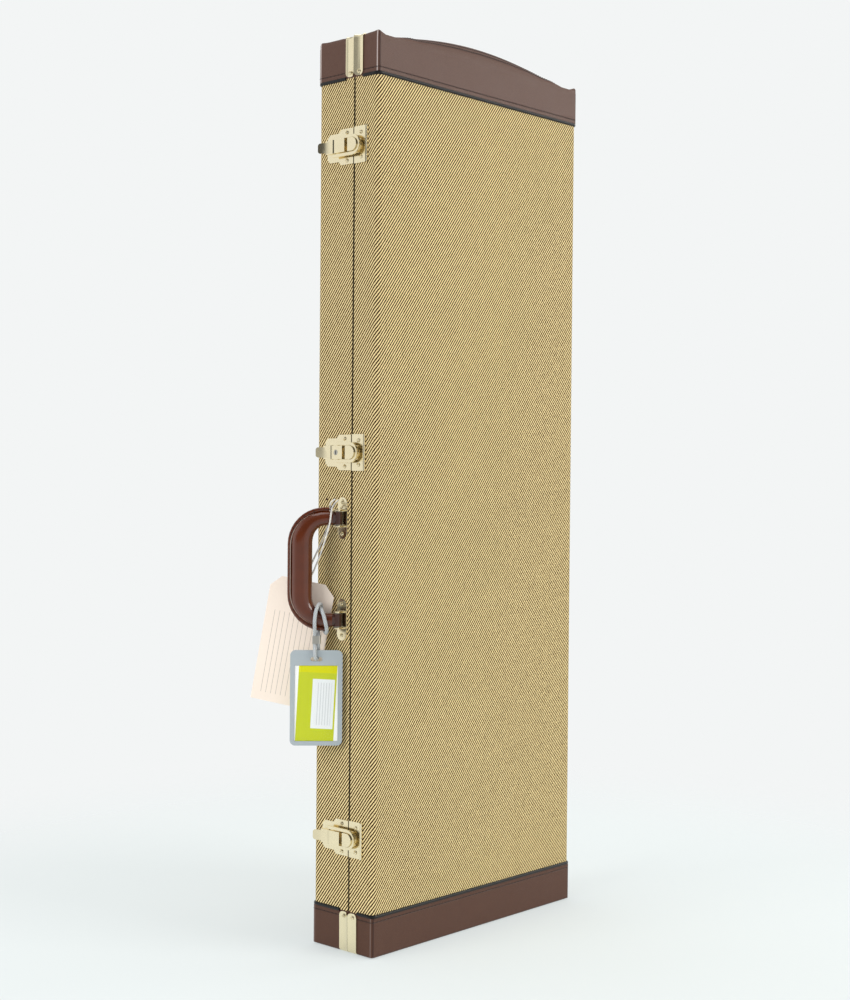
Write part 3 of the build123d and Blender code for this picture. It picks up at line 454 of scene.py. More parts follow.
def end_leather():
    """Pigmented cowhide, smooth-plated: fine creased grain under a soft satin finish."""
    leather = bpy.context.scene.case_leather
    made, tree = finish("satin_pigmented_leather")
    place = millimetres(tree)
    x, y, level = [along(tree, place, axis) for axis in (X, Y, Z)]
    # near black: it darkens the grain's creases, and is painted shade along the rows of stitches
    near_black = (0.02, 0.012, 0.01, 1)
    pores = add(tree, "TexVoronoi", {"Vector": place, "Scale": 1 / 1.1}, feature="DISTANCE_TO_EDGE")
    creases = add(tree, "MapRange", {0: pores, 2: 0.12})
    swell = add(tree, "TexNoise", {"Vector": place, "Scale": 1 / 7, "Detail": 3})
    # painted light: the leather is painted paler towards the head, where more light falls
    upward = add(tree, "MapRange", {0: level, 1: 200, 2: 800})
    hide = add(tree, "Mix", {0: upward, 6: leather.hide, 7: leather.washed}, out=2)
    hide = scaled(tree, hide, swell, 0.92, 1.1)
    hide = overlaid(tree, hide, near_black, creases, most=0, least=0.25)
    height = add(tree, "Math", {0: swell, 1: 0.6, 2: creases}, operation="MULTIPLY_ADD")
    rough = add(tree, "TexNoise", {"Vector": place, "W": 2.0, "Scale": 1 / 25, "Detail": 3})
    rough = add(tree, "MapRange", {0: rough, 3: 0.42, 4: 0.55})
    # painted light: a pale painted highlight runs down the fold of each outer corner, beside a dark line of
    # painted shade
    across = add(tree, "Math", {0: x}, operation="ABSOLUTE")
    depth = add(tree, "Math", {0: y}, operation="ABSOLUTE")
    side, outer = COVER_HIGH.x / MM, abs(COVER_LOW.y) / MM
    by_side = add(tree, "Math", {0: across, 1: side - 0.7}, operation="GREATER_THAN")
    fold_highlight = within(tree, depth, outer - 3.4, outer - 2.0, 0.4)
    fold_highlight = add(tree, "Math", {0: by_side, 1: fold_highlight}, operation="MULTIPLY")
    # the painted highlight is stronger towards the head
    painted_highlight = add(tree, "MapRange", {0: upward, 3: 0.12, 4: 0.6})
    fold_highlight = add(tree, "Math", {0: fold_highlight, 1: painted_highlight}, operation="MULTIPLY")
    hide = add(tree, "Mix", {0: fold_highlight, 6: hide, 7: linear("#D8CCC8")}, out=2)
    # painted shade: a dark line beside the fold
    crease = within(tree, across, side - 2.6, side - 0.8, 0.4)
    beside = within(tree, depth, outer - 1.2, outer + 1, 0.3)
    crease = add(tree, "Math", {0: crease, 1: beside}, operation="MULTIPLY")
    hide = overlaid(tree, hide, linear("#2A100A"), crease, 0.7)
    # the needle pulls a shallow valley along each row of stitches
    inset = leather.stitch_inset / MM
    rows = (BAND / MM - inset, (TOP - BAND) / MM + inset)
    rows = [within(tree, level, row - 0.5, row + 0.5, 0.6) for row in rows]
    valley = add(tree, "Math", {0: rows[0], 1: rows[1]}, operation="ADD")
    # and along the two rows over the crown
    over = add(tree, "Math", {0: level, 1: CROWN_FOOT / MM}, operation="GREATER_THAN")
    span = within(tree, across, -CROWN_SPAN / MM, CROWN_SPAN / MM, 2)
    over = add(tree, "Math", {0: over, 1: span}, operation="MULTIPLY")
    for edge, inward in ((COVER_LOW.y, 1), (COVER_HIGH.y, -1)):
        for row in CROWN_ROWS:
            middle = edge / MM + inward * row
            row = within(tree, y, middle - 0.4, middle + 0.4, 0.4)
            valley = add(tree, "Math", {0: row, 1: over, 2: valley}, operation="MULTIPLY_ADD")
    # painted shade darkens the leather along the rows of stitches
    hide = overlaid(tree, hide, near_black, valley, 0.7)
    fine = add(tree, "Bump", {"Height": height, "Distance": 0.12 * MM, "Strength": 0.5})
    deep = add(tree, "Math", {0: valley, 1: -1}, operation="MULTIPLY")
    deep = add(tree, "Bump", {"Height": deep, "Distance": 0.5 * MM, "Strength": 0.8, "Normal": fine})
    return shade(
        made,
        {"Base Color": hide, "Roughness": rough, "IOR": 1.48, "Specular IOR Level": 0.28, "Normal": deep},
    )


def waxed_thread(name, code):
    """Twisted waxed linen: tight slanting plies with a dull shine."""
    made, tree = finish(name)
    place = millimetres(tree)
    plies = {"Vector": place, "Scale": 0.9, "Distortion": 1.0}
    plies = add(tree, "TexWave", plies, bands_direction="DIAGONAL")
    return shade(
        made,
        {
            "Base Color": tinted(tree, code, plies, 0.7, 1.3),
            "Roughness": 0.6,
            "Normal": add(tree, "Bump", {"Height": plies, "Distance": 0.1 * MM, "Strength": 0.6}),
        },
    )


def black_vinyl():
    """Extruded vinyl welt: near black, faintly pebbled, satin."""
    made, tree = finish("extruded_black_vinyl")
    pebble = add(tree, "TexNoise", {"Vector": millimetres(tree), "Scale": 1 / 0.8, "Detail": 3})
    return shade(
        made,
        {
            "Base Color": tinted(tree, bpy.context.scene.case_leather.piping, pebble, 0.7, 1.5),
            "Roughness": 0.36,
            "IOR": 1.5,
            "Specular IOR Level": 0.35,
            "Normal": add(tree, "Bump", {"Height": pebble, "Distance": 0.08 * MM, "Strength": 0.5}),
        },
    )


def gilt_plating():
    """Stamped steel with pale gilt plating: bright, a little cloudy, with fine polishing lines."""
    made, tree = finish("polished_pale_gilt_steel")
    place = millimetres(tree)
    cloud = add(tree, "TexNoise", {"Vector": place, "Scale": 1 / 9, "Detail": 3})
    lines = add(tree, "VectorMath", {0: place, 1: (1.0, 1.0, 0.06)}, operation="MULTIPLY")
    lines = add(tree, "TexNoise", {"Vector": lines, "W": 4.0, "Scale": 1 / 0.35, "Detail": 3})
    ripple = add(tree, "TexNoise", {"Vector": place, "W": 9.0, "Scale": 1 / 3.5, "Detail": 1})
    ripple = add(tree, "Bump", {"Height": ripple, "Distance": 0.05 * MM, "Strength": 0.35})
    lines = add(tree, "Bump", {"Height": lines, "Distance": 0.008 * MM, "Strength": 0.3, "Normal": ripple})
    return shade(
        made,
        {
            "Base Color": tinted(tree, bpy.context.scene.case_metal.gilt, cloud, 0.92, 1.04),
            "Metallic": 1.0,
            "Roughness": add(tree, "Math", {0: cloud, 1: 0.10, 2: 0.13}, operation="MULTIPLY_ADD"),
            "Normal": lines,
        },
    )


def bare_steel():
    """Drawn steel wire and turned plugs: grey, with fine drawn lines."""
    made, tree = finish("drawn_bare_steel")
    place = millimetres(tree)
    lines = add(tree, "VectorMath", {0: place, 1: (1.0, 1.0, 0.1)}, operation="MULTIPLY")
    lines = add(tree, "TexNoise", {"Vector": lines, "Scale": 1 / 0.4, "Detail": 3})
    return shade(
        made,
        {
            "Base Color": tinted(tree, bpy.context.scene.case_metal.steel, lines, 0.85, 1.05),
            "Metallic": 1.0,
            "Roughness": add(tree, "MapRange", {0: lines, 3: 0.24, 4: 0.4}),
            "Normal": add(tree, "Bump", {"Height": lines, "Distance": 0.01 * MM, "Strength": 0.4}),
        },
    )


def glazed_leather(name, code):
    """Glazed bridle leather: deep brown, with creased grain and a wet shine."""
    made, tree = finish(name)
    place = millimetres(tree)
    swell = add(tree, "TexNoise", {"Vector": place, "Scale": 1 / 12, "Detail": 3})
    pores = add(tree, "TexVoronoi", {"Vector": place, "Scale": 1 / 0.8}, feature="DISTANCE_TO_EDGE")
    creases = add(tree, "MapRange", {0: pores, 2: 0.1})
    height = add(tree, "Math", {0: swell, 1: 0.8, 2: creases}, operation="MULTIPLY_ADD")
    return shade(
        made,
        {
            "Base Color": tinted(tree, code, swell, 0.78, 1.25),
            "Roughness": 0.4,
            "IOR": 1.5,
            "Specular IOR Level": 0.1,
            "Coat Weight": 1.0,
            "Coat Roughness": 0.12,
            "Normal": add(tree, "Bump", {"Height": height, "Distance": 0.08 * MM, "Strength": 0.35}),
        },
    )


def plush_pile():
    """Crushed velvet plush: short leaning pile that is dark head-on and bright at its edges."""
    inside = bpy.context.scene.case_inside
    made, tree = finish("crushed_plush_pile")
    place = millimetres(tree)
    tufts = add(tree, "TexNoise", {"Vector": place, "Scale": MM / inside.pile, "Detail": 4})
    crush = add(tree, "TexNoise", {"Vector": place, "W": 5.0, "Scale": 1 / 38, "Detail": 3})
    crush = add(tree, "MapRange", {0: crush, 1: 0.4, 2: 0.6}, **SMOOTH)
    return shade(
        made,
        {
            "Base Color": scaled(tree, tinted(tree, inside.plush, tufts, 0.45, 1.25), crush, 0.75, 1.2),
            "Roughness": 0.95,
            "IOR": 1.4,
            "Sheen Weight": 0.6,
            "Sheen Roughness": 0.4,
            "Sheen Tint": linear("#C86A72"),
            "Normal": add(tree, "Bump", {"Height": tufts, "Distance": 0.8 * MM, "Strength": 0.7}),
        },
    )


def birch_plywood():
    """Sanded birch plywood: pale faces, and thin light and dark plies on the edges."""
    made, tree = finish("sanded_birch_plywood")
    place = millimetres(tree)
    figure = add(tree, "VectorMath", {0: place, 1: (1.0, 1.0, 0.05)}, operation="MULTIPLY")
    figure = {"Vector": figure, "Scale": 0.16, "Distortion": 6, "Detail": 3, "Detail Scale": 1.5}
    figure = add(tree, "TexWave", figure, bands_direction="X")
    ply = 1.3  # the thickness of one ply
    plies = add(tree, "Math", {0: along(tree, place, X)}, operation="ABSOLUTE")
    plies = add(tree, "Math", {0: plies, 1: ply}, operation="PINGPONG")
    plies = within(tree, plies, 0.5, 1.1, 0.15)
    wood = tinted(tree, bpy.context.scene.case_inside.ply, figure, 0.8, 1.08)
    grain = add(tree, "Bump", {"Height": figure, "Distance": 0.1 * MM, "Strength": 0.3})
    wood = overlaid(tree, wood, linear("#8E683C"), plies, 0.3)
    return shade(made, {"Base Color": wood, "Roughness": 0.7, "Normal": grain})


def ruled_paper():
    """Matt manila stock with printed rules along it: no shine, faint fibres."""
    tags = bpy.context.scene.case_tags
    made, tree = finish("matt_manila_paper")
    across, up = map_axes(tree, "tag")
    fibre = add(tree, "TexNoise", {"Vector": millimetres(tree), "Scale": 1 / 0.9, "Detail": 4})
    rule_pitch = 2.9
    lines = add(tree, "Math", {0: across, 1: rule_pitch}, operation="PINGPONG")
    lines = add(tree, "MapRange", {0: lines, 1: 0.16, 2: 0.34, 3: 1, 4: 0})
    for value, low, high, soft in ((across, -36, 32, 0.1), (up, -62, 32, 0.2)):
        ruled = within(tree, value, low, high, soft)
        lines = add(tree, "Math", {0: lines, 1: ruled}, operation="MULTIPLY")
    sheet = overlaid(tree, tinted(tree, tags.paper, fibre, 0.93, 1.03), tags.rule, lines, 0.7)
    tooth = add(tree, "Bump", {"Height": fibre, "Distance": 0.05 * MM, "Strength": 0.4})
    return shade(made, {"Base Color": sheet, "Roughness": 0.85, "IOR": 1.45, "Normal": tooth})


def sleeve_vinyl(window):
    """Welded vinyl: a clouded grey border round a clear window, glossy all over."""
    tags = bpy.context.scene.case_tags
    made, tree = finish("welded_grey_vinyl")
    low, high, bottom, top = window
    place = millimetres(tree)
    sideways = along(tree, place, HANDLE.to_3x3() @ X, HANDLE.translation)
    up = along(tree, place, Z, HANDLE.translation)
    clear = panel(tree, 0.3, (sideways, low, high), (up, bottom, top))
    ripple = add(tree, "TexNoise", {"Vector": place, "Scale": 1 / 14})
    weld = add(tree, "Math", {0: clear, 1: 0.5, 2: ripple}, operation="MULTIPLY_ADD")
    return shade(
        made,
        {
            "Base Color": tinted(tree, tags.vinyl, ripple, 0.96, 1.05),
            "Roughness": 0.22,
            "IOR": 1.53,
            "Coat Weight": 0.1,
            "Coat Roughness": 0.08,
            "Alpha": add(tree, "MapRange", {0: clear, 3: 0.97, 4: 0.03}),
            "Normal": add(tree, "Bump", {"Height": weld, "Distance": 0.3 * MM, "Strength": 0.5}),
        },
    )


def tag_card_stock(window):
    """Coated card: yellow-green with a brighter strip on top and a white label, no lettering."""
    tags = bpy.context.scene.case_tags
    made, tree = finish("coated_card")
    low, high, bottom, top = window
    place = millimetres(tree)
    # the card sits a little askew in its sleeve
    centre = HANDLE @ (Vector((low + high, bottom + top, 0)) / 2 * MM)
    askew = radians(2.8)
    sideways = along(tree, place, HANDLE.to_3x3() @ Vector((cos(askew), sin(askew), 0)), centre)
    up = along(tree, place, HANDLE.to_3x3() @ Vector((-sin(askew), cos(askew), 0)), centre)
    right, top = (high - low) / 2, (top - bottom) / 2
    left, bottom = -right, -top
    crisp = 0.1
    strip = within(tree, up, top - 8, top + 5, crisp)
    printed = panel(tree, crisp, (sideways, left + 2.6, right - 2.8), (up, bottom - 3, top + 5))
    label = panel(tree, crisp, (sideways, left + 4.5, left + 29), (up, bottom + 14, bottom + 69))
    stock = add(tree, "Mix", {0: strip, 6: tags.card, 7: tags.card_head}, out=2)
    stock = add(tree, "Mix", {0: printed, 6: linear("#F2F4F4"), 7: stock}, out=2)
    stock = add(tree, "Mix", {0: label, 6: stock, 7: linear("#E4E8E9")}, out=2)
    # faint even bars stand where such a label is printed
    bar = add(tree, "Math", {0: sideways, 1: 1.5}, operation="PINGPONG")
    bar = within(tree, bar, 1.0, 1.6, 0.15)
    inner = panel(tree, crisp, (sideways, left + 7.5, left + 25), (up, bottom + 18, bottom + 65))
    bar = add(tree, "Math", {0: bar, 1: inner}, operation="MULTIPLY")
    stock = overlaid(tree, stock, linear("#8A9094"), bar, 0.35)
    speck = add(tree, "TexNoise", {"Vector": place, "Scale": 1 / 1.2, "Detail": 3})
    return shade(
        made,
        {
            "Base Color": scaled(tree, stock, speck, 0.97, 1.03),
            "Roughness": 0.45,
            "Specular IOR Level": 0.1,
            "Normal": add(tree, "Bump", {"Height": label, "Distance": 0.15 * MM, "Strength": 0.4}),
        },
    )


def braided_cord(name, code, around, pitch):
    """Braided polyester: two sets of strands that cross in small diamonds."""
    made, tree = finish(name)
    way, side = map_axes(tree, "UVMap")
    turns = add(tree, "Math", {0: side, 1: around}, operation="MULTIPLY")
    runs = add(tree, "Math", {0: way, 1: pitch}, operation="MULTIPLY")
    strands = []
    for hand in (-1, 1):
        slant = add(tree, "Math", {0: turns, 1: hand, 2: runs}, operation="MULTIPLY_ADD")
        strands.append(add(tree, "Math", {0: slant, 1: 0.5}, operation="PINGPONG"))
    weave = add(tree, "Math", {0: strands[0], 1: strands[1]}, operation="MULTIPLY")
    weave = add(tree, "MapRange", {0: weave, 2: 0.2})
    return shade(
        made,
        {
            "Base Color": tinted(tree, code, weave, 0.62, 1.1),
            "Roughness": 0.75,
            "Sheen Weight": 0.2,
            "Normal": add(tree, "Bump", {"Height": weave, "Distance": 0.3 * MM, "Strength": 0.8}),
        },
    )


def woven_ribbon():
    """Grosgrain ribbon: fine ribs across a black band."""
    made, tree = finish("black_grosgrain_ribbon")
    rib = 0.45
    ribs = add(tree, "Math", {0: along(tree, millimetres(tree), X), 1: rib}, operation="PINGPONG")
    return shade(
        made,
        {
            "Base Color": tinted(tree, bpy.context.scene.case_inside.ribbon, ribs, 0.8, 1.6),
            "Roughness": 0.6,
            "Sheen Weight": 0.3,
            "Normal": add(tree, "Bump", {"Height": ribs, "Distance": 0.3 * MM, "Strength": 0.7}),
        },
    )


# ---------------------------------------------------------------- shapes
def paint(material, *nodes):
    """Gives frame pieces whose shape is kept their finish."""
    for node in nodes:
        slots = frame["nodes"][node].data.materials
        slots.clear()
        slots.append(material)


def evened(made):
    """Shades a piece's flats evenly up to its softened edges, and returns it."""
    made.modifiers.new("even_shading", "WEIGHTED_NORMAL").keep_sharp = True
    return made


def remeshed(made, voxel):
    """Gives a piece an even mesh."""
    remesh = made.modifiers.new("even", "REMESH")
    remesh.mode, remesh.voxel_size = "VOXEL", voxel
    bake(made)


def relax(bm, verts):
    """Smooths some of a mesh's points."""
    axes = {"use_axis_x": True, "use_axis_y": True, "use_axis_z": True}
    for _ in range(2):
        bmesh.ops.smooth_vert(bm, verts=verts, factor=0.5, **axes)


def cut_across(bm, levels):
    """Cuts a whole mesh square to Y at each level."""
    for level in levels:
        geometry = [*bm.verts, *bm.edges, *bm.faces]
        bmesh.ops.bisect_plane(bm, geom=geometry, dist=1e-6, plane_co=Y * level, plane_no=Y)


def points_in(parts):
    """The points among some parts of a mesh."""
    return [part for part in parts if isinstance(part, bmesh.types.BMVert)]


def joined_to(vert):
    """A point and all that edges join to it."""
    found, reach = {vert}, [vert]
    while reach:
        for edge in reach.pop().link_edges:
            for other in edge.verts:
                if other not in found:
                    found.add(other)
                    reach.append(other)
    return found


def plain(bm, name, material):
    """A new object from a mesh."""
    mesh = bpy.data.meshes.new(name)
    bm.to_mesh(mesh)
    bm.free()
    mesh.materials.append(material)
    made = bpy.data.objects.new(name, mesh)
    bpy.context.collection.objects.link(made)
    return made


def piece(bm, name, body, material, stands_for=(), crease=35):
    """Makes a finished object from a mesh and lets it ride on a body."""
    made = plain(bm, name, material)
    made.data.shade_smooth()
    made.data.set_sharp_from_angle(angle=radians(crease))
    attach(made, body)
    if stands_for:
        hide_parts(*stands_for)
    return made


def merged(node):
    """A frame piece's mesh with its corners joined and its flat faces whole."""
    bm = bmesh.new()
    bm.from_mesh(frame["nodes"][node].data)
    bmesh.ops.remove_doubles(bm, verts=bm.verts, dist=0.005 * MM)
    bmesh.ops.dissolve_limit(bm, angle_limit=radians(0.5), verts=bm.verts, edges=bm.edges)
    return bm


def soften(bm, radius, steps=2, over=30, chosen=lambda edge: True):
    """Rounds the sharp edges of a mesh."""
    edges = [
        edge
        for edge in bm.edges
        if len(edge.link_faces) == 2 and edge.calc_face_angle(0) > radians(over) and chosen(edge)
    ]
    shape = {"affect": "EDGES", "profile": 0.5, "material": -1, "clamp_overlap": True}
    bmesh.ops.bevel(bm, geom=edges, offset=radius, segments=steps, **shape)


def rounded(node, radius, material, steps=2, name=None):
    """A frame piece with softened edges, which stands for it."""
    bm = merged(node)
    soften(bm, radius, steps)
    body = frame["nodes"][node]["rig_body"]
    return evened(piece(bm, name or node + "_finished", body, material, (node,)))


def islands(node):
    """The box of each separate solid in a frame piece."""
    bm = merged(node)
    left, boxes = set(bm.verts), []
    while left:
        group = joined_to(left.pop())
        left -= group
        boxes.append(bounds_of([vert.co.copy() for vert in group]))
    bm.free()
    return sorted(boxes, key=lambda box: (round(box[0].z, 4), box[0].x, box[0].y))


def march(bm, ring, places):
    """Carries a ring of edges through a row of matrices, and skins the way."""
    edges = ring
    for before, here in zip(places, places[1:]):
        made = bmesh.ops.extrude_edge_only(bm, edges=edges)["geom"]
        verts = points_in(made)
        bmesh.ops.transform(bm, matrix=here @ before.inverted(), verts=verts)
        edges = [part for part in made if isinstance(part, bmesh.types.BMEdge)]
        edges = [edge for edge in edges if all(vert in verts for vert in edge.verts)]
    return edges


def capped_tube(bm, places, sides):
    """A closed tube of unit section carried through a row of matrices."""
    made = bmesh.ops.create_circle(bm, segments=sides, radius=1, cap_ends=False)["verts"]
    bmesh.ops.transform(bm, matrix=places[0], verts=made)
    ring = list({edge for vert in made for edge in vert.link_edges})
    last = march(bm, ring, places)
    for end in (ring, last):
        bmesh.ops.contextual_create(bm, geom=end)
    bmesh.ops.recalc_face_normals(bm, faces=bm.faces)


def stitch(bm, place, size):
    """One stitch, a little pill of thread."""
    bmesh.ops.create_icosphere(bm, subdivisions=1, radius=1, matrix=place @ Matrix.Diagonal((*size, 1)))


def facing(place, outward, forward):
    """A matrix at a place whose X runs forward and whose Z points outward."""
    z, x = outward.normalized(), forward.normalized()
    return framed(place, x, z.cross(x), z)


def cord_curve(name, points, radius, material, stands_for):
    """A cord that lies on one smooth NURBS line through the handle's frame."""
    data = bpy.data.curves.new(name, "CURVE")
    data.dimensions = "3D"
    data.bevel_depth, data.bevel_resolution = radius, 3
    data.resolution_u = 8
    data.use_fill_caps = True
    line = data.splines.new("NURBS")
    line.points.add(len(points) - 1)
    for point, place in zip(line.points, points):
        point.co = (*(HANDLE @ Vector(place)), 1)
    line.order_u = 3
    line.use_endpoint_u = True
    line.use_smooth = True
    data.materials.append(material)
    made = bpy.data.objects.new(name, data)
    bpy.context.collection.objects.link(made)
    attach(made, "handle")
    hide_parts(*stands_for)
    return made


def plumped(node, name, body, material, shrink=1.0, swell=3.0, voxel=5.0):
    """A stuffed copy of a frame block: remeshed, blown up like a cushion and smoothed; in millimetres."""
    bm = merged(node)
    low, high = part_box(node)
    centre = (low + high) / 2
    least_share = 0.2
    scale = [max(1 - 2 * shrink * MM / max(side, 1e-6), least_share) for side in high - low]
    shrunk = Matrix.Translation(centre) @ Matrix.Diagonal((*scale, 1)) @ Matrix.Translation(-centre)
    bmesh.ops.transform(bm, matrix=shrunk, verts=bm.verts)
    bmesh.ops.triangulate(bm, faces=bm.faces)
    made = piece(bm, name, body, material, (node,), crease=180)
    remeshed(made, voxel * MM)
    rest = [vert.co.copy() for vert in made.data.vertices]
    cloth = made.modifiers.new("stuffing", "CLOTH")
    cloth.settings.use_pressure = True
    cloth.settings.uniform_pressure_force = 4
    cloth.settings.effector_weights.gravity = 0
    cloth.settings.quality = 4
    cloth.settings.mass = 0.3
    cloth.collision_settings.use_collision = False
    for step in range(1, 21):
        bpy.context.scene.frame_set(step)
    bake(made)
    bpy.context.scene.frame_set(1)
    # the swelling is kept within a few millimetres and inside the block's own box
    for vert, home in zip(made.data.vertices, rest):
        move = vert.co - home
        if move.length > swell * MM:
            move.length = swell * MM
        co = home + move
        vert.co = [min(max(co[i], low[i]), high[i]) for i in range(3)]
    bm = bmesh.new()
    bm.from_mesh(made.data)
    relax(bm, bm.verts)
    bm.to_mesh(made.data)
    bm.free()
    made.data.shade_smooth()
    smooth = made.modifiers.new("smooth", "SUBSURF")
    smooth.levels = smooth.render_levels = 1
    return made


def bake(made):
    """Applies what is on a piece to its mesh."""
    graph = bpy.context.evaluated_depsgraph_get()
    mesh = bpy.data.meshes.new_from_object(made.evaluated_get(graph), depsgraph=graph)
    made.modifiers.clear()
    old, made.data = made.data, mesh
    mesh.name = made.name
    bpy.data.meshes.remove(old)


# ---------------------------------------------------------------- where things run
def half_body(half):
    """The body that a half of the case rides on."""
    return "case" if half == "base" else "lid"


def mouth_and_face(half, low, high):
    """A half's mouth and outer face, as levels in Y, and the sign of the way from one to the other."""
    return (high.y, low.y, -1) if half == "lid" else (low.y, high.y, 1)


def round_the_cover(half, distance, level, out=0.0):
    """A place so far round a half's cover from its latch-side seam, with its outward way and heading."""
    whole = way_round(half)
    if distance > whole / 2:  # the hinge side mirrors the latch side
        mirror = Matrix.Diagonal((-1, 1, 1))
        place, turn, way = (mirror @ part for part in round_the_cover(half, whole - distance, level, out))
        return place, turn, -way
    low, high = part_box(half + "_leather_bands")
    mouth, face, sign = mouth_and_face(half, low, high)
    straight, bend = high.y - low.y - FOLD, FOLD * pi / 2
    if distance < straight:
        turn, way = -X, Vector((0, sign, 0))
        place = Vector((-high.x, mouth + sign * distance, level))
    elif distance < straight + bend:
        angle = (distance - straight) / FOLD
        turn = Vector((-cos(angle), sign * sin(angle), 0))
        way = Vector((sin(angle), sign * cos(angle), 0))
        place = Vector((FOLD - high.x, face - sign * FOLD, level)) + turn * FOLD
    else:
        turn, way = Vector((0, sign, 0)), X
        place = Vector((FOLD - high.x + distance - straight - bend, face, level))
    return place + turn * out, turn, way


def eased(value):
    """A share from 0 to 1 that starts and ends gently."""
    value = min(max(value, 0.0), 1.0)
    return value * value * (3 - 2 * value)


def roll_depth(x):
    """How far in from the outer face the leather rolls over: tight at the corners, wide on the crown."""
    tight, fuller, widest = 1.2, 2.8, 7
    by_corner = eased((175 * MM - abs(x)) / (20 * MM))
    by_crown = eased((133 * MM - abs(x)) / (24 * MM))
    return (tight + fuller * by_corner + widest * by_crown) * MM


def crown_top(half, x, y):
    """The level of the padded leather over the head end, away from its rolled edge."""
    low, high = HEAD_CAPS[half]
    from_mouth = abs(y - mouth_and_face(half, low, high)[0])
    rise = high.z - TOP
    radius = (CROWN_SPAN**2 + rise**2) / (2 * rise)
    arch = max(rise - radius + (radius**2 - min(abs(x), radius) ** 2) ** 0.5, 0)
    # beyond the crown the leather sinks a little and peaks at its corners, but not under the guards
    free = eased((from_mouth - GUARD_REACH) / (8 * MM)) if abs(x) > CROWN_SPAN + MM else 1
    corner, deepest, highest = 22 * MM, 3.6 * MM, 1.6 * MM
    inward = min(max((high.x - abs(x)) / corner, 0), 1)
    dip = deepest * (1 - (1 - inward) ** 2) * free
    peak = highest * (1 - inward) ** 3 * free
    # the stuffing fills the dip towards the middle, and is drawn down along the seam
    stuffed = 0.25 + 0.75 * eased((from_mouth - MM) / (13 * MM))
    fill = dip * eased((160 * MM - abs(x)) / (26 * MM))
    return TOP - dip + peak + (fill + 1.1 * arch) * stuffed


def way_round(half):
    """The length of the way round a half's cover, from seam to seam."""
    low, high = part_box(half + "_leather_bands")
    return 2 * (high.y - low.y - FOLD) + FOLD * pi + 2 * (high.x - FOLD)


def handle_way(start, out, half, radius, steps=8):
    """Matrices round the handle's U, with X off its plane, Y outward and Z along the way."""
    stations = [(reach, half, 0.0) for reach in (start, (start + out - radius) / 2)]
    for step in range(steps + 1):
        angle = step / steps * pi / 2
        stations.append((out - radius + radius * sin(angle), half - radius + radius * cos(angle), -angle))
    lower = [(reach, -up, -pi - angle) for reach, up, angle in reversed(stations)]
    span, parts = half - radius, 10
    middle = [(out, span * (1 - 2 * part / parts), -pi / 2) for part in range(1, parts)]
    matrices = []
    for reach, up, angle in stations + middle + lower:
        forward = Vector((cos(angle), sin(angle), 0))
        outward = Vector((-sin(angle), cos(angle), 0))
        matrices.append(HANDLE @ framed((reach * MM, up * MM, 0), Z, outward, forward))
    return matrices


# places in the handle's frame, in metres, for the sleeve's cord and the paper tag's string
LOOP_WAY = (
    (0.02045, -0.0778, -0.0020),
    (0.02045, -0.0720, -0.0017),
    (0.0208, -0.0698, 0.0048),
    (0.0216, -0.0620, 0.0094),
    (0.0224, -0.0522, 0.0106),
    (0.0216, -0.0442, 0.0068),
    (0.0184, -0.0426, -0.0022),
    (0.0154, -0.0482, -0.0096),
    (0.0128, -0.0582, -0.0106),
    (0.0110, -0.0668, -0.0074),
    (0.0120, -0.0722, 0.0),
    (0.0150, -0.0674, 0.0070),
    (0.0168, -0.0594, 0.0104),
    (0.0170, -0.0494, 0.0106),
    (0.0174, -0.0410, 0.0072),
    (0.0190, -0.0378, 0.0),
    (0.0220, -0.0410, -0.0074),
    (0.0242, -0.0492, -0.0110),
    (0.0248, -0.0594, -0.0110),
    (0.02455, -0.0664, -0.0078),
    (0.02455, -0.0720, -0.0023),
    (0.02455, -0.0846, -0.0022),
    (0.02455, -0.0892, -0.0066),
    (0.0237, -0.0998, -0.0060),
    (0.0213, -0.0998, 0.0020),
    (0.02045, -0.0892, 0.0026),
    (0.02045, -0.0846, -0.0018),
    (0.02045, -0.0794, -0.0020),
)
STRING_WAY = (
    (-0.0005, 0.0767, 0.0046),
    (0.0040, 0.0727, 0.0034),
    (0.0062, 0.0684, 0.0002),
    (0.0068, 0.0656, -0.0044),
    (0.0076, 0.0607, -0.0086),
    (0.0086, 0.0512, -0.0092),
    (0.0130, 0.0352, -0.0055),
    (0.0190, 0.0162, 0.0010),
    (0.0260, -0.0018, 0.0086),
    (0.0325, -0.0148, 0.0128),
    (0.0376, -0.0226, 0.0140),
    (0.0402, -0.0264, 0.0162),
    (0.0396, -0.0268, 0.0206),
    (0.0384, -0.0216, 0.0216),
    (0.0362, -0.0112, 0.0190),
    (0.0310, 0.0007, 0.0132),
    (0.0245, 0.0152, 0.0090),
    (0.0175, 0.0302, 0.0086),
    (0.0125, 0.0432, 0.0096),
    (0.0090, 0.0552, 0.0099),
    (0.0082, 0.0634, 0.0086),
    (0.0084, 0.0690, 0.0054),
    (0.0086, 0.0724, 0.0002),
    (0.0070, 0.0752, -0.0036),
    (0.0030, 0.0778, -0.0060),
)


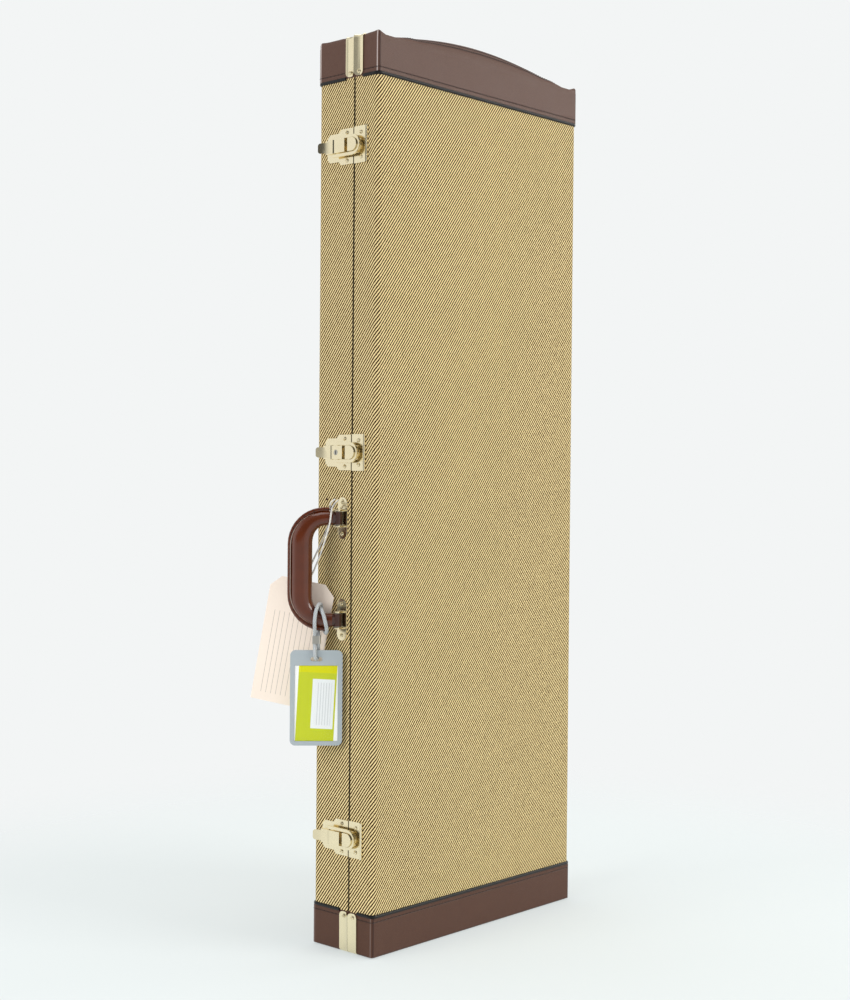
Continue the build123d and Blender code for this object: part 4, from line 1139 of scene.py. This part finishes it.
# ---------------------------------------------------------------- operators
class CASE_OT_stage(bpy.types.Operator):
    """Floor, soft lamps, backdrop and camera"""

    bl_idname = "guitar_case.stage"
    bl_label = "Stage"

    def execute(self, context):
        scene = context.scene
        stage = scene.case_stage
        data = bpy.data.cameras.new("studio_camera")
        data.lens, data.sensor_width = stage.lens, 36
        data.clip_start, data.clip_end = 0.05, 50
        camera = bpy.data.objects.new("studio_camera", data)
        scene.collection.objects.link(camera)
        heading, pitch, roll = stage.camera_turn
        forward = Vector((cos(heading) * cos(pitch), sin(heading) * cos(pitch), sin(pitch)))
        level = Vector((sin(heading), -cos(heading), 0))
        above = level.cross(forward)
        right = cos(roll) * level + sin(roll) * above
        camera.matrix_world = framed(stage.camera_place, right, right.cross(forward), -forward)
        scene.camera = camera
        self.lamps(scene)
        self.world(scene, stage)
        self.floor(stage)
        scene.view_settings.view_transform = "Standard"
        return {"FINISHED"}

    def lamps(self, scene):
        """Four large soft boxes: over the right shoulder, from both sides, and overhead."""
        # name, place, size, watts, tint, and whether polished metal shows it
        boxes = (
            ("key_softbox", (1.3, -3.4, 1.9), 2.0, 90, "#FFFDF8", True),
            ("right_softbox", (3.7, -1.5, 1.7), 1.5, 30, "#FFFDF8", True),
            ("left_softbox", (-3.4, 0.6, 1.5), 2.2, 66, "#FFFFFF", False),
            ("top_softbox", (0.2, 0.3, 3.2), 2.4, 33, "#FFFFFF", True),
        )
        aim = Vector((0, 0, 0.5))
        for name, place, size, power, tint, shines in boxes:
            data = bpy.data.lights.new(name, "AREA")
            data.shape, data.size, data.energy = "SQUARE", size, power
            data.color = linear(tint)[:3]
            lamp = bpy.data.objects.new(name, data)
            lamp.visible_glossy = shines
            scene.collection.objects.link(lamp)
            turn = (aim - Vector(place)).to_track_quat("-Z", "Y").to_matrix().to_4x4()
            lamp.matrix_world = Matrix.Translation(place) @ turn

    def world(self, scene, stage):
        """A pale backdrop for the camera and for reflections, and even light for the rest."""
        world = bpy.data.worlds.new("pale_room")
        scene.world = world
        world.use_nodes = True
        tree = world.node_tree
        tree.nodes.clear()
        lit = add(tree, "Background", {"Color": (1, 1, 1, 1), "Strength": stage.sky})
        # polished metal shows a dark wall on one side, above eye level, and a dark ceiling
        way = add(tree, "TexCoord", out="Generated")
        aside = (-0.94, -0.34, 0.0)  # the dark wall lies this way
        wall = add(tree, "VectorMath", {0: way, 1: aside}, out="Value", operation="DOT_PRODUCT")
        wall = add(tree, "MapRange", {0: wall, 1: 0.52, 2: 0.78, 4: 0.92}, **SMOOTH)
        rise = add(tree, "SeparateXYZ", {0: way}, out=2)
        above = add(tree, "MapRange", {0: rise, 1: -0.06, 2: 0.10, 3: 0.25}, **SMOOTH)
        wall = add(tree, "Math", {0: wall, 1: above}, operation="MULTIPLY")
        level = add(tree, "Math", {0: 1.0, 1: wall}, operation="SUBTRACT")
        ceiling = add(tree, "MapRange", {0: rise, 1: 0.5, 2: 0.8, 3: 1.0, 4: 0.25}, **SMOOTH)
        level = add(tree, "Math", {0: level, 1: ceiling}, operation="MULTIPLY")
        camera = add(tree, "LightPath", out="Is Camera Ray")
        level = add(tree, "Math", {0: camera, 1: level}, operation="MAXIMUM")
        shown = add(tree, "Background", {"Color": stage.backdrop, "Strength": level})
        add(tree, "OutputWorld", {"Surface": add(tree, "MixShader", {0: seen(tree), 1: lit, 2: shown})})

    def floor(self, stage):
        """A pale sheet on the floor that fades into the backdrop and keeps the shadow."""
        made, tree = finish("pale_paper_floor")
        place = add(tree, "TexCoord", out="Object")
        away = add(tree, "VectorMath", {0: place}, out="Value", operation="LENGTH")
        fade = add(tree, "MapRange", {0: away, 1: 0.45, 2: 1.1}, **SMOOTH)
        glowing = add(tree, "MapRange", {0: seen(tree), 4: 0.55})
        matt = add(tree, "BsdfDiffuse", {"Color": stage.floor})
        glow = add(tree, "Emission", {"Color": stage.floor, "Strength": 1.0})
        paper = add(tree, "MixShader", {0: glowing, 1: matt, 2: glow})
        clear = add(tree, "BsdfTransparent")
        add(tree, "OutputMaterial", {"Surface": add(tree, "MixShader", {0: fade, 1: paper, 2: clear})})
        bm = bmesh.new()
        bmesh.ops.create_grid(bm, x_segments=1, y_segments=1, size=1.2)
        bmesh.ops.translate(bm, verts=bm.verts, vec=(0, 0, CAD_LOW.z - 0.2 * MM))
        floor = plain(bm, "floor", made)


class CASE_OT_cords(bpy.types.Operator):
    """The sleeve's doubled cord, its crimp and the paper tag's string"""

    bl_idname = "guitar_case.cords"
    bl_label = "Cords"

    def execute(self, context):
        tags = context.scene.case_tags
        loop = cord_curve(
            "sleeve_cord",
            LOOP_WAY,
            2.05 * MM,
            braided_cord("braided_grey_polyester", tags.cord, around=6, pitch=60),
            ("tag_loop",),
        )
        string = cord_curve(
            "tag_string_line",
            STRING_WAY,
            0.95 * MM,
            braided_cord("twisted_white_cotton", tags.string, around=3, pitch=120),
            ("tag_string",),
        )
        return {"FINISHED"}


class CASE_OT_cover(bpy.types.Operator):
    """The tweed on both halves, with soft folds along the rims"""

    bl_idname = "guitar_case.cover"
    bl_label = "Tweed cover"

    def execute(self, context):
        fold = context.scene.case_cloth.turned_edge
        near = 0.05 * MM
        for half in HALVES:
            node = half + "_tweed"
            bm = merged(node)
            low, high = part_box(node)
            rim = mouth_and_face(half, low, high)[0]

            def on_rim(edge, rim=rim, side=high.x):
                middle = (edge.verts[0].co + edge.verts[1].co) / 2
                return abs(middle.y - rim) < near and abs(abs(middle.x) - side) < near

            soften(bm, fold, steps=3, chosen=on_rim)
            evened(piece(bm, node + "_cover", half_body(half), lacquered_tweed(half), (node,)))
        return {"FINISHED"}


class CASE_OT_ends(bpy.types.Operator):
    """The leather ends, their stitches and the black welts"""

    bl_idname = "guitar_case.ends"
    bl_label = "Leather ends"

    def execute(self, context):
        leather = context.scene.case_leather
        hide = end_leather()
        thread = waxed_thread("waxed_brown_thread", leather.thread)
        paint(black_vinyl(), "base_piping", "lid_piping")
        size = (leather.stitch_length / 2, 0.5 * MM, 0.45 * MM)
        skip = 14.5 * MM  # from the seam to the first stitch, past the guards
        sunk = 0.1 * MM
        for half in HALVES:
            paint(hide, half + "_leather_bands", half + "_foot_cap", half + "_head_cap")
            bm = bmesh.new()
            run = way_round(half) - 2 * skip
            count = int(run / leather.stitch_pitch)
            for level in (BAND - leather.stitch_inset, TOP - BAND + leather.stitch_inset):
                for index in range(count + 1):
                    distance = skip + run * index / count
                    stitch(bm, facing(*round_the_cover(half, distance, level, -sunk)), size)
            self.seams(bm, half, self.crown(half, hide))
            piece(bm, half + "_leather_stitches", half_body(half), thread, crease=80)
            self.corners(half, hide)
        return {"FINISHED"}

    def seams(self, bm, half, skin):
        """The two rows of stitches along the crown's outer edge."""
        pitch, proud, size = 4.1 * MM, 0.15 * MM, (1.7 * MM, 0.6 * MM, 0.5 * MM)
        each_way = int(CROWN_SPAN / pitch) + 1
        face, away = mouth_and_face(half, *HEAD_CAPS[half])[1:]
        for row in CROWN_ROWS:
            for step in range(-each_way, each_way + 1):
                above = Vector((step * pitch, face - away * row * MM, TOP + BAND))
                place, outward = skin.ray_cast(above, -Z)[:2]
                ahead = skin.ray_cast(above + X * MM, -Z)[0]
                stitch(bm, facing(place + outward * proud, outward, ahead - place), size)

    def crown(self, half, hide):
        """The leather over the head end: rolled over the rim, stuffed, and peaked at its corners."""
        node = half + "_head_cap"
        bm = merged(node)
        overlap = 8 * MM  # how far it reaches down past its solid, into the band
        for vert in bm.verts:
            if vert.co.z < HEAD_CAPS[half][0].z + 0.1 * MM:
                vert.co.z -= overlap
        bmesh.ops.triangulate(bm, faces=bm.faces)
        name = half + "_head_crown"
        made = piece(bm, name, half_body(half), hide, (node,), crease=180)
        remeshed(made, 1.4 * MM)
        bm = bmesh.new()
        bm.from_mesh(made.data)
        self.roll(bm, half)
        relax(bm, [vert for vert in bm.verts if vert.co.z > CROWN_FOOT - 4 * MM])
        skin = BVHTree.FromBMesh(bm)
        bm.to_mesh(made.data)
        bm.free()
        made.data.shade_smooth()
        return skin

    def roll(self, bm, half):
        """Moves the crown's points: round the rim first, then up to the stuffed level."""
        low, high = HEAD_CAPS[half]
        mouth, face, away = mouth_and_face(half, low, high)
        wall = TOP - CROWN_FOOT
        skin = 1.2 * MM  # points this near a face lie on it
        for vert in bm.verts:
            x, y, z = vert.co
            side = 1 if x > 0 else -1
            from_side, from_face = max(high.x - abs(x), 0), max(abs(y - face), 0)
            # the corner is pushed out to the leather's own fold, from a circle to a squarer curve
            if from_side < EDGE and from_face < EDGE:
                reach = Vector((EDGE - from_side, EDGE - from_face))
                if reach.length > 0.1 * MM:
                    way = reach.normalized()
                    reach *= (way.x**6 + way.y**6) ** (-1 / 6)
                    from_side, from_face = max(EDGE - reach.x, 0), max(EDGE - reach.y, 0)
                    x, y = side * (high.x - from_side), face - away * from_face
            # below the roll it stands proud of the band at first, and sinks under it lower down
            if z <= CROWN_FOOT:
                share = min((CROWN_FOOT - z) / (6 * MM), 1)
                proud = (0.2 - 0.35 * share) * MM
                if from_side < skin:
                    x += side * proud
                if from_face < skin:
                    y += away * proud
                vert.co = (x, y, z)
                continue
            # under the guards it stays flat
            if abs(x) > CROWN_SPAN + MM and abs(y - mouth) < GUARD_REACH:
                continue
            edge, by_face = min(from_side, from_face), from_face <= from_side
            depth = roll_depth(x) if by_face else (1.2 + 2 * eased(from_face / (14 * MM))) * MM
            climb = min(z - CROWN_FOOT, wall) + (edge if z > TOP - 1.5 * MM else 0)
            lift = 1
            if climb < wall + depth:
                angle = climb / (wall + depth) * pi / 2
                moved = depth * (1 - cos(angle)) - edge
                lift = sin(angle)
                if by_face:
                    y -= away * moved
                else:
                    x -= side * moved
            vert.co = (x, y, CROWN_FOOT + (crown_top(half, x, y) - CROWN_FOOT) * lift)

    def corners(self, half, hide):
        """Leather folded to a sharper corner over the rounded wood."""
        low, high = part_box(half + "_leather_bands")
        face, away = mouth_and_face(half, low, high)[1:]
        skin, sunk, back, steps = 0.12 * MM, 0.02 * MM, 1.6 * MM, 6
        flap, hollow = EDGE + 1.5 * MM, EDGE * 0.45
        from_welt, from_crown, off_floor = 1.9 * MM, 1.0 * MM, 1.2 * MM
        bm = bmesh.new()
        for side in (-1, 1):
            corner = Vector((side * high.x, face, 0))
            # from the corner along the face and along the side
            first, second = Vector((-side, 0, 0)), Vector((0, -away, 0))
            outline = [corner + first * flap + second * back, corner + first * flap - second * sunk]
            for step in range(steps + 1):
                angle = step / steps * pi / 2
                bend = (first * sin(angle) + second * cos(angle)) * (FOLD + skin)
                outline.append(corner + (first + second) * FOLD - bend)
            outline += [corner + second * flap - first * sunk, corner + second * flap + first * back]
            outline.append(corner + (first + second) * hollow)
            for bottom, top in (
                (off_floor, BAND - from_welt),
                (TOP - BAND + from_welt, CROWN_FOOT - from_crown),
            ):
                end = bm.faces.new([bm.verts.new((place.x, place.y, bottom)) for place in outline])
                made = bmesh.ops.extrude_face_region(bm, geom=[end])["geom"]
                bmesh.ops.translate(bm, verts=points_in(made), vec=(0, 0, top - bottom))
        bmesh.ops.recalc_face_normals(bm, faces=bm.faces)
        piece(bm, half + "_leather_corners", half_body(half), hide, crease=40)


class CASE_OT_hardware(bpy.types.Operator):
    """Guards, hinges, latches, brackets and their screws"""

    bl_idname = "guitar_case.hardware"
    bl_label = "Gilt hardware"

    def execute(self, context):
        metal = context.scene.case_metal
        gilt, steel = gilt_plating(), bare_steel()
        levels = ("foot", "middle", "head")
        stamped = ["latch_plates", "keepers", "handle_brackets"]
        stamped += [half + "_hinge_leaves" for half in HALVES] + [level + "_bail" for level in levels]
        for node in stamped:
            rounded(node, metal.edge, gilt)
        for level in levels:
            self.lever(level + "_lever", gilt)
        for half in HALVES:
            self.guards(half, gilt)
        for node in ("hinge_pins", "lever_pins", "lock_plug"):
            rounded(node, metal.edge / 2, steel)
        for half in HALVES:
            self.screws(half, metal.slot, gilt)
        return {"FINISHED"}

    def lever(self, node, gilt):
        """A stamped lever with a pressed groove between its neck and its square panel."""
        bm = merged(node)
        middle = LEVER_PIVOT + 13.4 * MM
        wide, flat, deep = 0.7 * MM, 0.45 * MM, 0.85 * MM
        cut_across(bm, (middle - wide, middle - flat, middle + flat, middle + wide))
        for vert in bm.verts:
            if abs(vert.co.y - middle) < flat + 0.05 * MM and vert.co.x < LEVER_FACE + 0.2 * MM:
                vert.co.x += deep
        soften(bm, 0.3 * MM)
        body = frame["nodes"][node]["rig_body"]
        evened(piece(bm, node + "_finished", body, gilt, (node,)))

    def guards(self, half, gilt):
        """The guards with a raised lip along the seam and a slight flare at their outer edge."""
        node = half + "_guards"
        bm = merged(node)
        low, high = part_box(node)
        mouth, away = mouth_and_face(half, low, high)[::2]
        # levels from the mouth where the lip and the flare bend the plate
        bends = (0.7, 1.4, 2.1, 2.8, 3.6, 5.0, 8.5, 9.7, 11.0, 12.2)
        cut_across(bm, [mouth + away * distance * MM for distance in bends])
        edge, ramp = 12 * MM, 9 * MM  # no lift this far in from an edge, and full lift a ramp further out
        for vert in bm.verts:
            x, y, z = vert.co
            distance = abs(y - mouth) / MM
            lip = 1.3 * (1 - eased(distance / 3.6)) if half == "base" else 1.5 * max(1 - distance / 8.2, 0)
            flare = 0.5 * eased((distance - 8.5) / 4.5)
            lift = (lip + flare) * MM
            off_side = eased((abs(x) - high.x + edge) / ramp) * eased(z / (8 * MM))
            off_end = eased((z - TOP + edge) / ramp)
            vert.co.x += (1 if x > 0 else -1) * lift * off_side
            vert.co.z += lift * off_end
        soften(bm, 0.3 * MM, over=45)
        evened(piece(bm, node + "_finished", half_body(half), gilt, (node,), crease=50))

    def screws(self, half, slot, gilt):
        """Domed heads with one slot, each turned as it was left."""
        turns = random.Random(len(half) * 11)
        height, sunk = 1.21 * MM, 0.825 * MM  # the dome's height, and how far it starts below the face
        bm = bmesh.new()
        for low, high in islands(half + "_screws"):
            centre = (low + high) / 2
            out, face = (X, high.x) if centre.x > 0 else (-X, low.x)
            place = facing(Vector((face - out.x * sunk, centre.y, centre.z)), out, Z)
            place @= Matrix.Rotation(turns.uniform(0, pi), 4, "Z")
            self.screw(bm, place, (high.z - low.z) / 2, height, slot)
        name = half + "_slotted_screws"
        piece(bm, name, half_body(half), gilt, (half + "_screws",), crease=40)

    def screw(self, bm, place, radius, height, slot):
        """The upper half of a ball with a slot cut across it, drawn to a screw head's size."""
        verts = bmesh.ops.create_uvsphere(bm, u_segments=20, v_segments=12, radius=1)["verts"]
        lower = [vert for vert in verts if vert.co.z < -0.01]
        verts = [vert for vert in verts if vert not in lower]
        bmesh.ops.delete(bm, geom=lower, context="VERTS")
        wide, floor = slot / 2 / radius, 0.45
        for side in (-wide, wide):
            edges = {edge for vert in verts for edge in vert.link_edges}
            faces = {face for vert in verts for face in vert.link_faces}
            parts = [*verts, *edges, *faces]
            cut = bmesh.ops.bisect_plane(bm, geom=parts, dist=1e-6, plane_co=Y * side, plane_no=Y)
            verts = list({*verts, *points_in(cut["geom_cut"])})
        for vert in verts:
            if abs(vert.co.y) < wide * 1.01:
                vert.co.z = min(vert.co.z, floor)
        bmesh.ops.transform(bm, matrix=place @ Matrix.Diagonal((radius, radius, height, 1)), verts=verts)


class CASE_OT_handle(bpy.types.Operator):
    """The stitched leather grip, its keepers and the steel inside"""

    bl_idname = "guitar_case.handle"
    bl_label = "Handle"

    def execute(self, context):
        handle = context.scene.case_handle
        hide = glazed_leather("glazed_bridle_leather", handle.hide)
        paint(bare_steel(), "handle_core")
        # thin round the eyes and full in the hand
        thin, thicker, wider = 15.6, 5.4, 7.4
        starts, grows = 0.08, 0.24
        bm = bmesh.new()
        places = handle_way(start=5.4, out=GRIP_OUT, half=GRIP_HALF, radius=GRIP_BEND)
        shaped = []
        for index, place in enumerate(places):
            share = index / (len(places) - 1)
            full = eased((min(share, 1 - share) - starts) / grows)
            thick, wide = thin + thicker * full, thin + wider * full
            shaped.append(place @ section(thick / 2, wide / 2))
        capped_tube(bm, shaped, sides=24)
        piece(bm, "handle_grip_leather", "handle", hide, ("handle_grip",), crease=50)
        self.flange(hide, handle)
        self.keepers(handle)
        return {"FINISHED"}

    def flange(self, hide, handle):
        """The sewn edge along the outside of the grip, with its stitches and two pale beads that paint
        highlights along it.
        """
        bm = bmesh.new()
        grip, root, seam, sunk = 11.5, 7.8, 2.5, 0.6  # the grip's half width in the hand and at the eyes
        out, half = GRIP_OUT + grip + seam - sunk, GRIP_HALF + root + seam - sunk
        places = handle_way(start=9.4, out=out, half=half, radius=GRIP_BEND + grip, steps=10)
        capped_tube(bm, [place @ section(2.25, seam) for place in places], sides=16)
        piece(bm, "handle_sewn_edge", "handle", hide, crease=50)
        off = 2.1  # the stitches and beads lie this far off the handle's plane
        bm = bmesh.new()
        for before, here in zip(places, places[1:]):
            run = here.translation - before.translation
            count = max(1, round(run.length / handle.stitch_pitch))
            for step in range(count):
                middle = before.lerp(here, step / count)
                axes = middle.to_3x3()
                for side in (-1, 1):
                    outward = axes.col[0] * side
                    place = facing(middle.translation + outward * off * MM, outward, axes.col[2])
                    stitch(bm, place, (1.5 * MM, 0.45 * MM, 0.4 * MM))
        thread = waxed_thread("waxed_dark_thread", linear("#1C0E0A"))
        piece(bm, "handle_stitches", "handle", thread, crease=80)
        # pale beads either side of the flange: painted highlights, where the glazed leather would catch the
        # light
        bm = bmesh.new()
        places = handle_way(start=9.4, out=52.1, half=62.8, radius=37, steps=10)
        for side in (-1, 1):
            bead = shifted(side * off, 0, 0) @ section(0.55, 0.6)
            capped_tube(bm, [place @ bead for place in places], sides=10)
        painted_highlight = glazed_leather("highlight_leather_bead", linear("#A08C80"))
        piece(bm, "handle_highlight_bead", "handle", painted_highlight, crease=50)

    def keepers(self, handle):
        """The dark wraps over the eyes between the brackets' lugs, and their bridges to the grip."""
        hide = glazed_leather("glazed_keeper_leather", handle.keeper)
        bm = bmesh.new()
        for end in (-1, 1):
            centre = HANDLE @ shifted(0, end * GRIP_HALF, 0)
            start = centre @ shifted(0, -7.2, 0) @ Matrix.Rotation(-pi / 2, 4, "X")
            wrap = [
                start @ shifted(0, 0, step) @ section(size, size)
                for step, size in ((0, 4.6), (0.5, 5.2), (13.9, 5.2), (14.4, 4.6))
            ]
            turn = Matrix.Rotation(pi / 2, 4, "Y")
            bridge = [
                centre @ shifted(out, 0, 0) @ turn @ section(deep, wide)
                for out, deep, wide in ((0.5, 4.9, 7.0), (3.0, 5.2, 7.3), (6.5, 6.6, 7.3))
            ]
            for places in (wrap, bridge):
                capped_tube(bm, places, sides=28)
        piece(bm, "handle_keepers", "handle", hide, crease=50)


class CASE_OT_tags(bpy.types.Operator):
    """The paper tag, the sleeve with its card and the crimp"""

    bl_idname = "guitar_case.tags"
    bl_label = "Tags"

    def execute(self, context):
        # the clear window's left, right, bottom and top in the handle's frame, in millimetres
        window = (-1.5, 46.5, -190.8, -106.8)
        self.sleeve(sleeve_vinyl(window))
        paint(tag_card_stock(window), "tag_card")
        paint(bare_steel(), "tag_crimp")
        self.paper()
        return {"FINISHED"}

    def sleeve(self, vinyl):
        """The sleeve's outer skin with soft edges, open inside for the card."""
        bm = merged("tag_sleeve")
        outer = joined_to(max(bm.verts, key=lambda vert: vert.co.z))
        bmesh.ops.delete(bm, geom=[vert for vert in bm.verts if vert not in outer], context="VERTS")
        soften(bm, 0.6 * MM, steps=3)
        evened(piece(bm, "vinyl_sleeve", "handle", vinyl, ("tag_sleeve",)))

    def paper(self):
        """A stiff card of paper, bowed a little, with its rules on a map of its own."""
        bm = merged("paper_tag")
        # how far the sheet stands off the handle's plane, how far it leans, and where its rules centre
        off_plane, lean, aside, down = radians(14.4), radians(10), 51.2 * MM, 83.8 * MM
        side = HANDLE.to_3x3() @ Vector((cos(off_plane), 0, sin(off_plane)))
        across = side * cos(lean) + Z * sin(lean)
        up = Z * cos(lean) - side * sin(lean)
        middle = HANDLE.translation + side * aside - Z * down
        flat = bm.loops.layers.uv.new("tag")
        for face in bm.faces:
            for loop in face.loops:
                away = loop.vert.co - middle
                loop[flat].uv = (away.dot(across) / MM, away.dot(up) / MM)
        piece(bm, "manila_tag", "handle", ruled_paper(), ("paper_tag",), crease=30)


class CASE_OT_inside(bpy.types.Operator):
    """The boards, the plush lining and its padded blocks"""

    bl_idname = "guitar_case.inside"
    bl_label = "Inside"

    def execute(self, context):
        plush = plush_pile()
        boards = ("face_panel", "latch_side_board", "hinge_side_board", "foot_board", "head_board")
        paint(birch_plywood(), *[half + "_" + board for half in HALVES for board in boards])
        paint(woven_ribbon(), "accessory_tab")
        for half in HALVES:
            rounded(half + "_lining", 1.5 * MM, plush, steps=3, name=half + "_plush_lining")
        for node in ("foot_bolster", "neck_rest", "head_rest", "filler_block"):
            plumped(node, node + "_padded", "case", plush)
        plumped("lid_foam", "lid_pad", "lid", plush, shrink=0.6, voxel=4.0)
        for node in ("waist_bolsters", "accessory_box", "accessory_lid"):
            rounded(node, 1.6 * MM, plush, steps=3, name=node + "_plush")
        return {"FINISHED"}


class CASE_PT_sidebar(bpy.types.Panel):
    """The guitar case's pieces and their settings"""

    bl_idname = "CASE_PT_sidebar"
    bl_label = "Guitar Case"
    bl_space_type = "VIEW_3D"
    bl_region_type = "UI"
    bl_category = "Guitar Case"

    def draw(self, context):
        for operator in OPERATORS:
            self.layout.operator(operator.bl_idname)
        for group in GROUPS:
            box = self.layout.box()
            settings = getattr(context.scene, group)
            for name in settings.bl_rna.properties.keys():
                if name not in ("rna_type", "name"):
                    box.prop(settings, name)


OPERATORS = (
    CASE_OT_stage,
    CASE_OT_cords,
    CASE_OT_cover,
    CASE_OT_ends,
    CASE_OT_hardware,
    CASE_OT_handle,
    CASE_OT_tags,
    CASE_OT_inside,
)


def register():
    for kind in (*GROUPS.values(), *OPERATORS, CASE_PT_sidebar):
        bpy.utils.register_class(kind)
    for name, kind in GROUPS.items():
        setattr(bpy.types.Scene, name, bpy.props.PointerProperty(type=kind))


def unregister():
    for name in GROUPS:
        delattr(bpy.types.Scene, name)
    for kind in (CASE_PT_sidebar, *reversed(OPERATORS), *reversed(GROUPS.values())):
        bpy.utils.unregister_class(kind)


def main():
    register()
    bpy.ops.guitar_case.stage()
    bpy.ops.guitar_case.cords()
    bpy.ops.guitar_case.cover()
    bpy.ops.guitar_case.ends()
    bpy.ops.guitar_case.hardware()
    bpy.ops.guitar_case.handle()
    bpy.ops.guitar_case.tags()
    bpy.ops.guitar_case.inside()


if __name__ == "__main__":
    main()
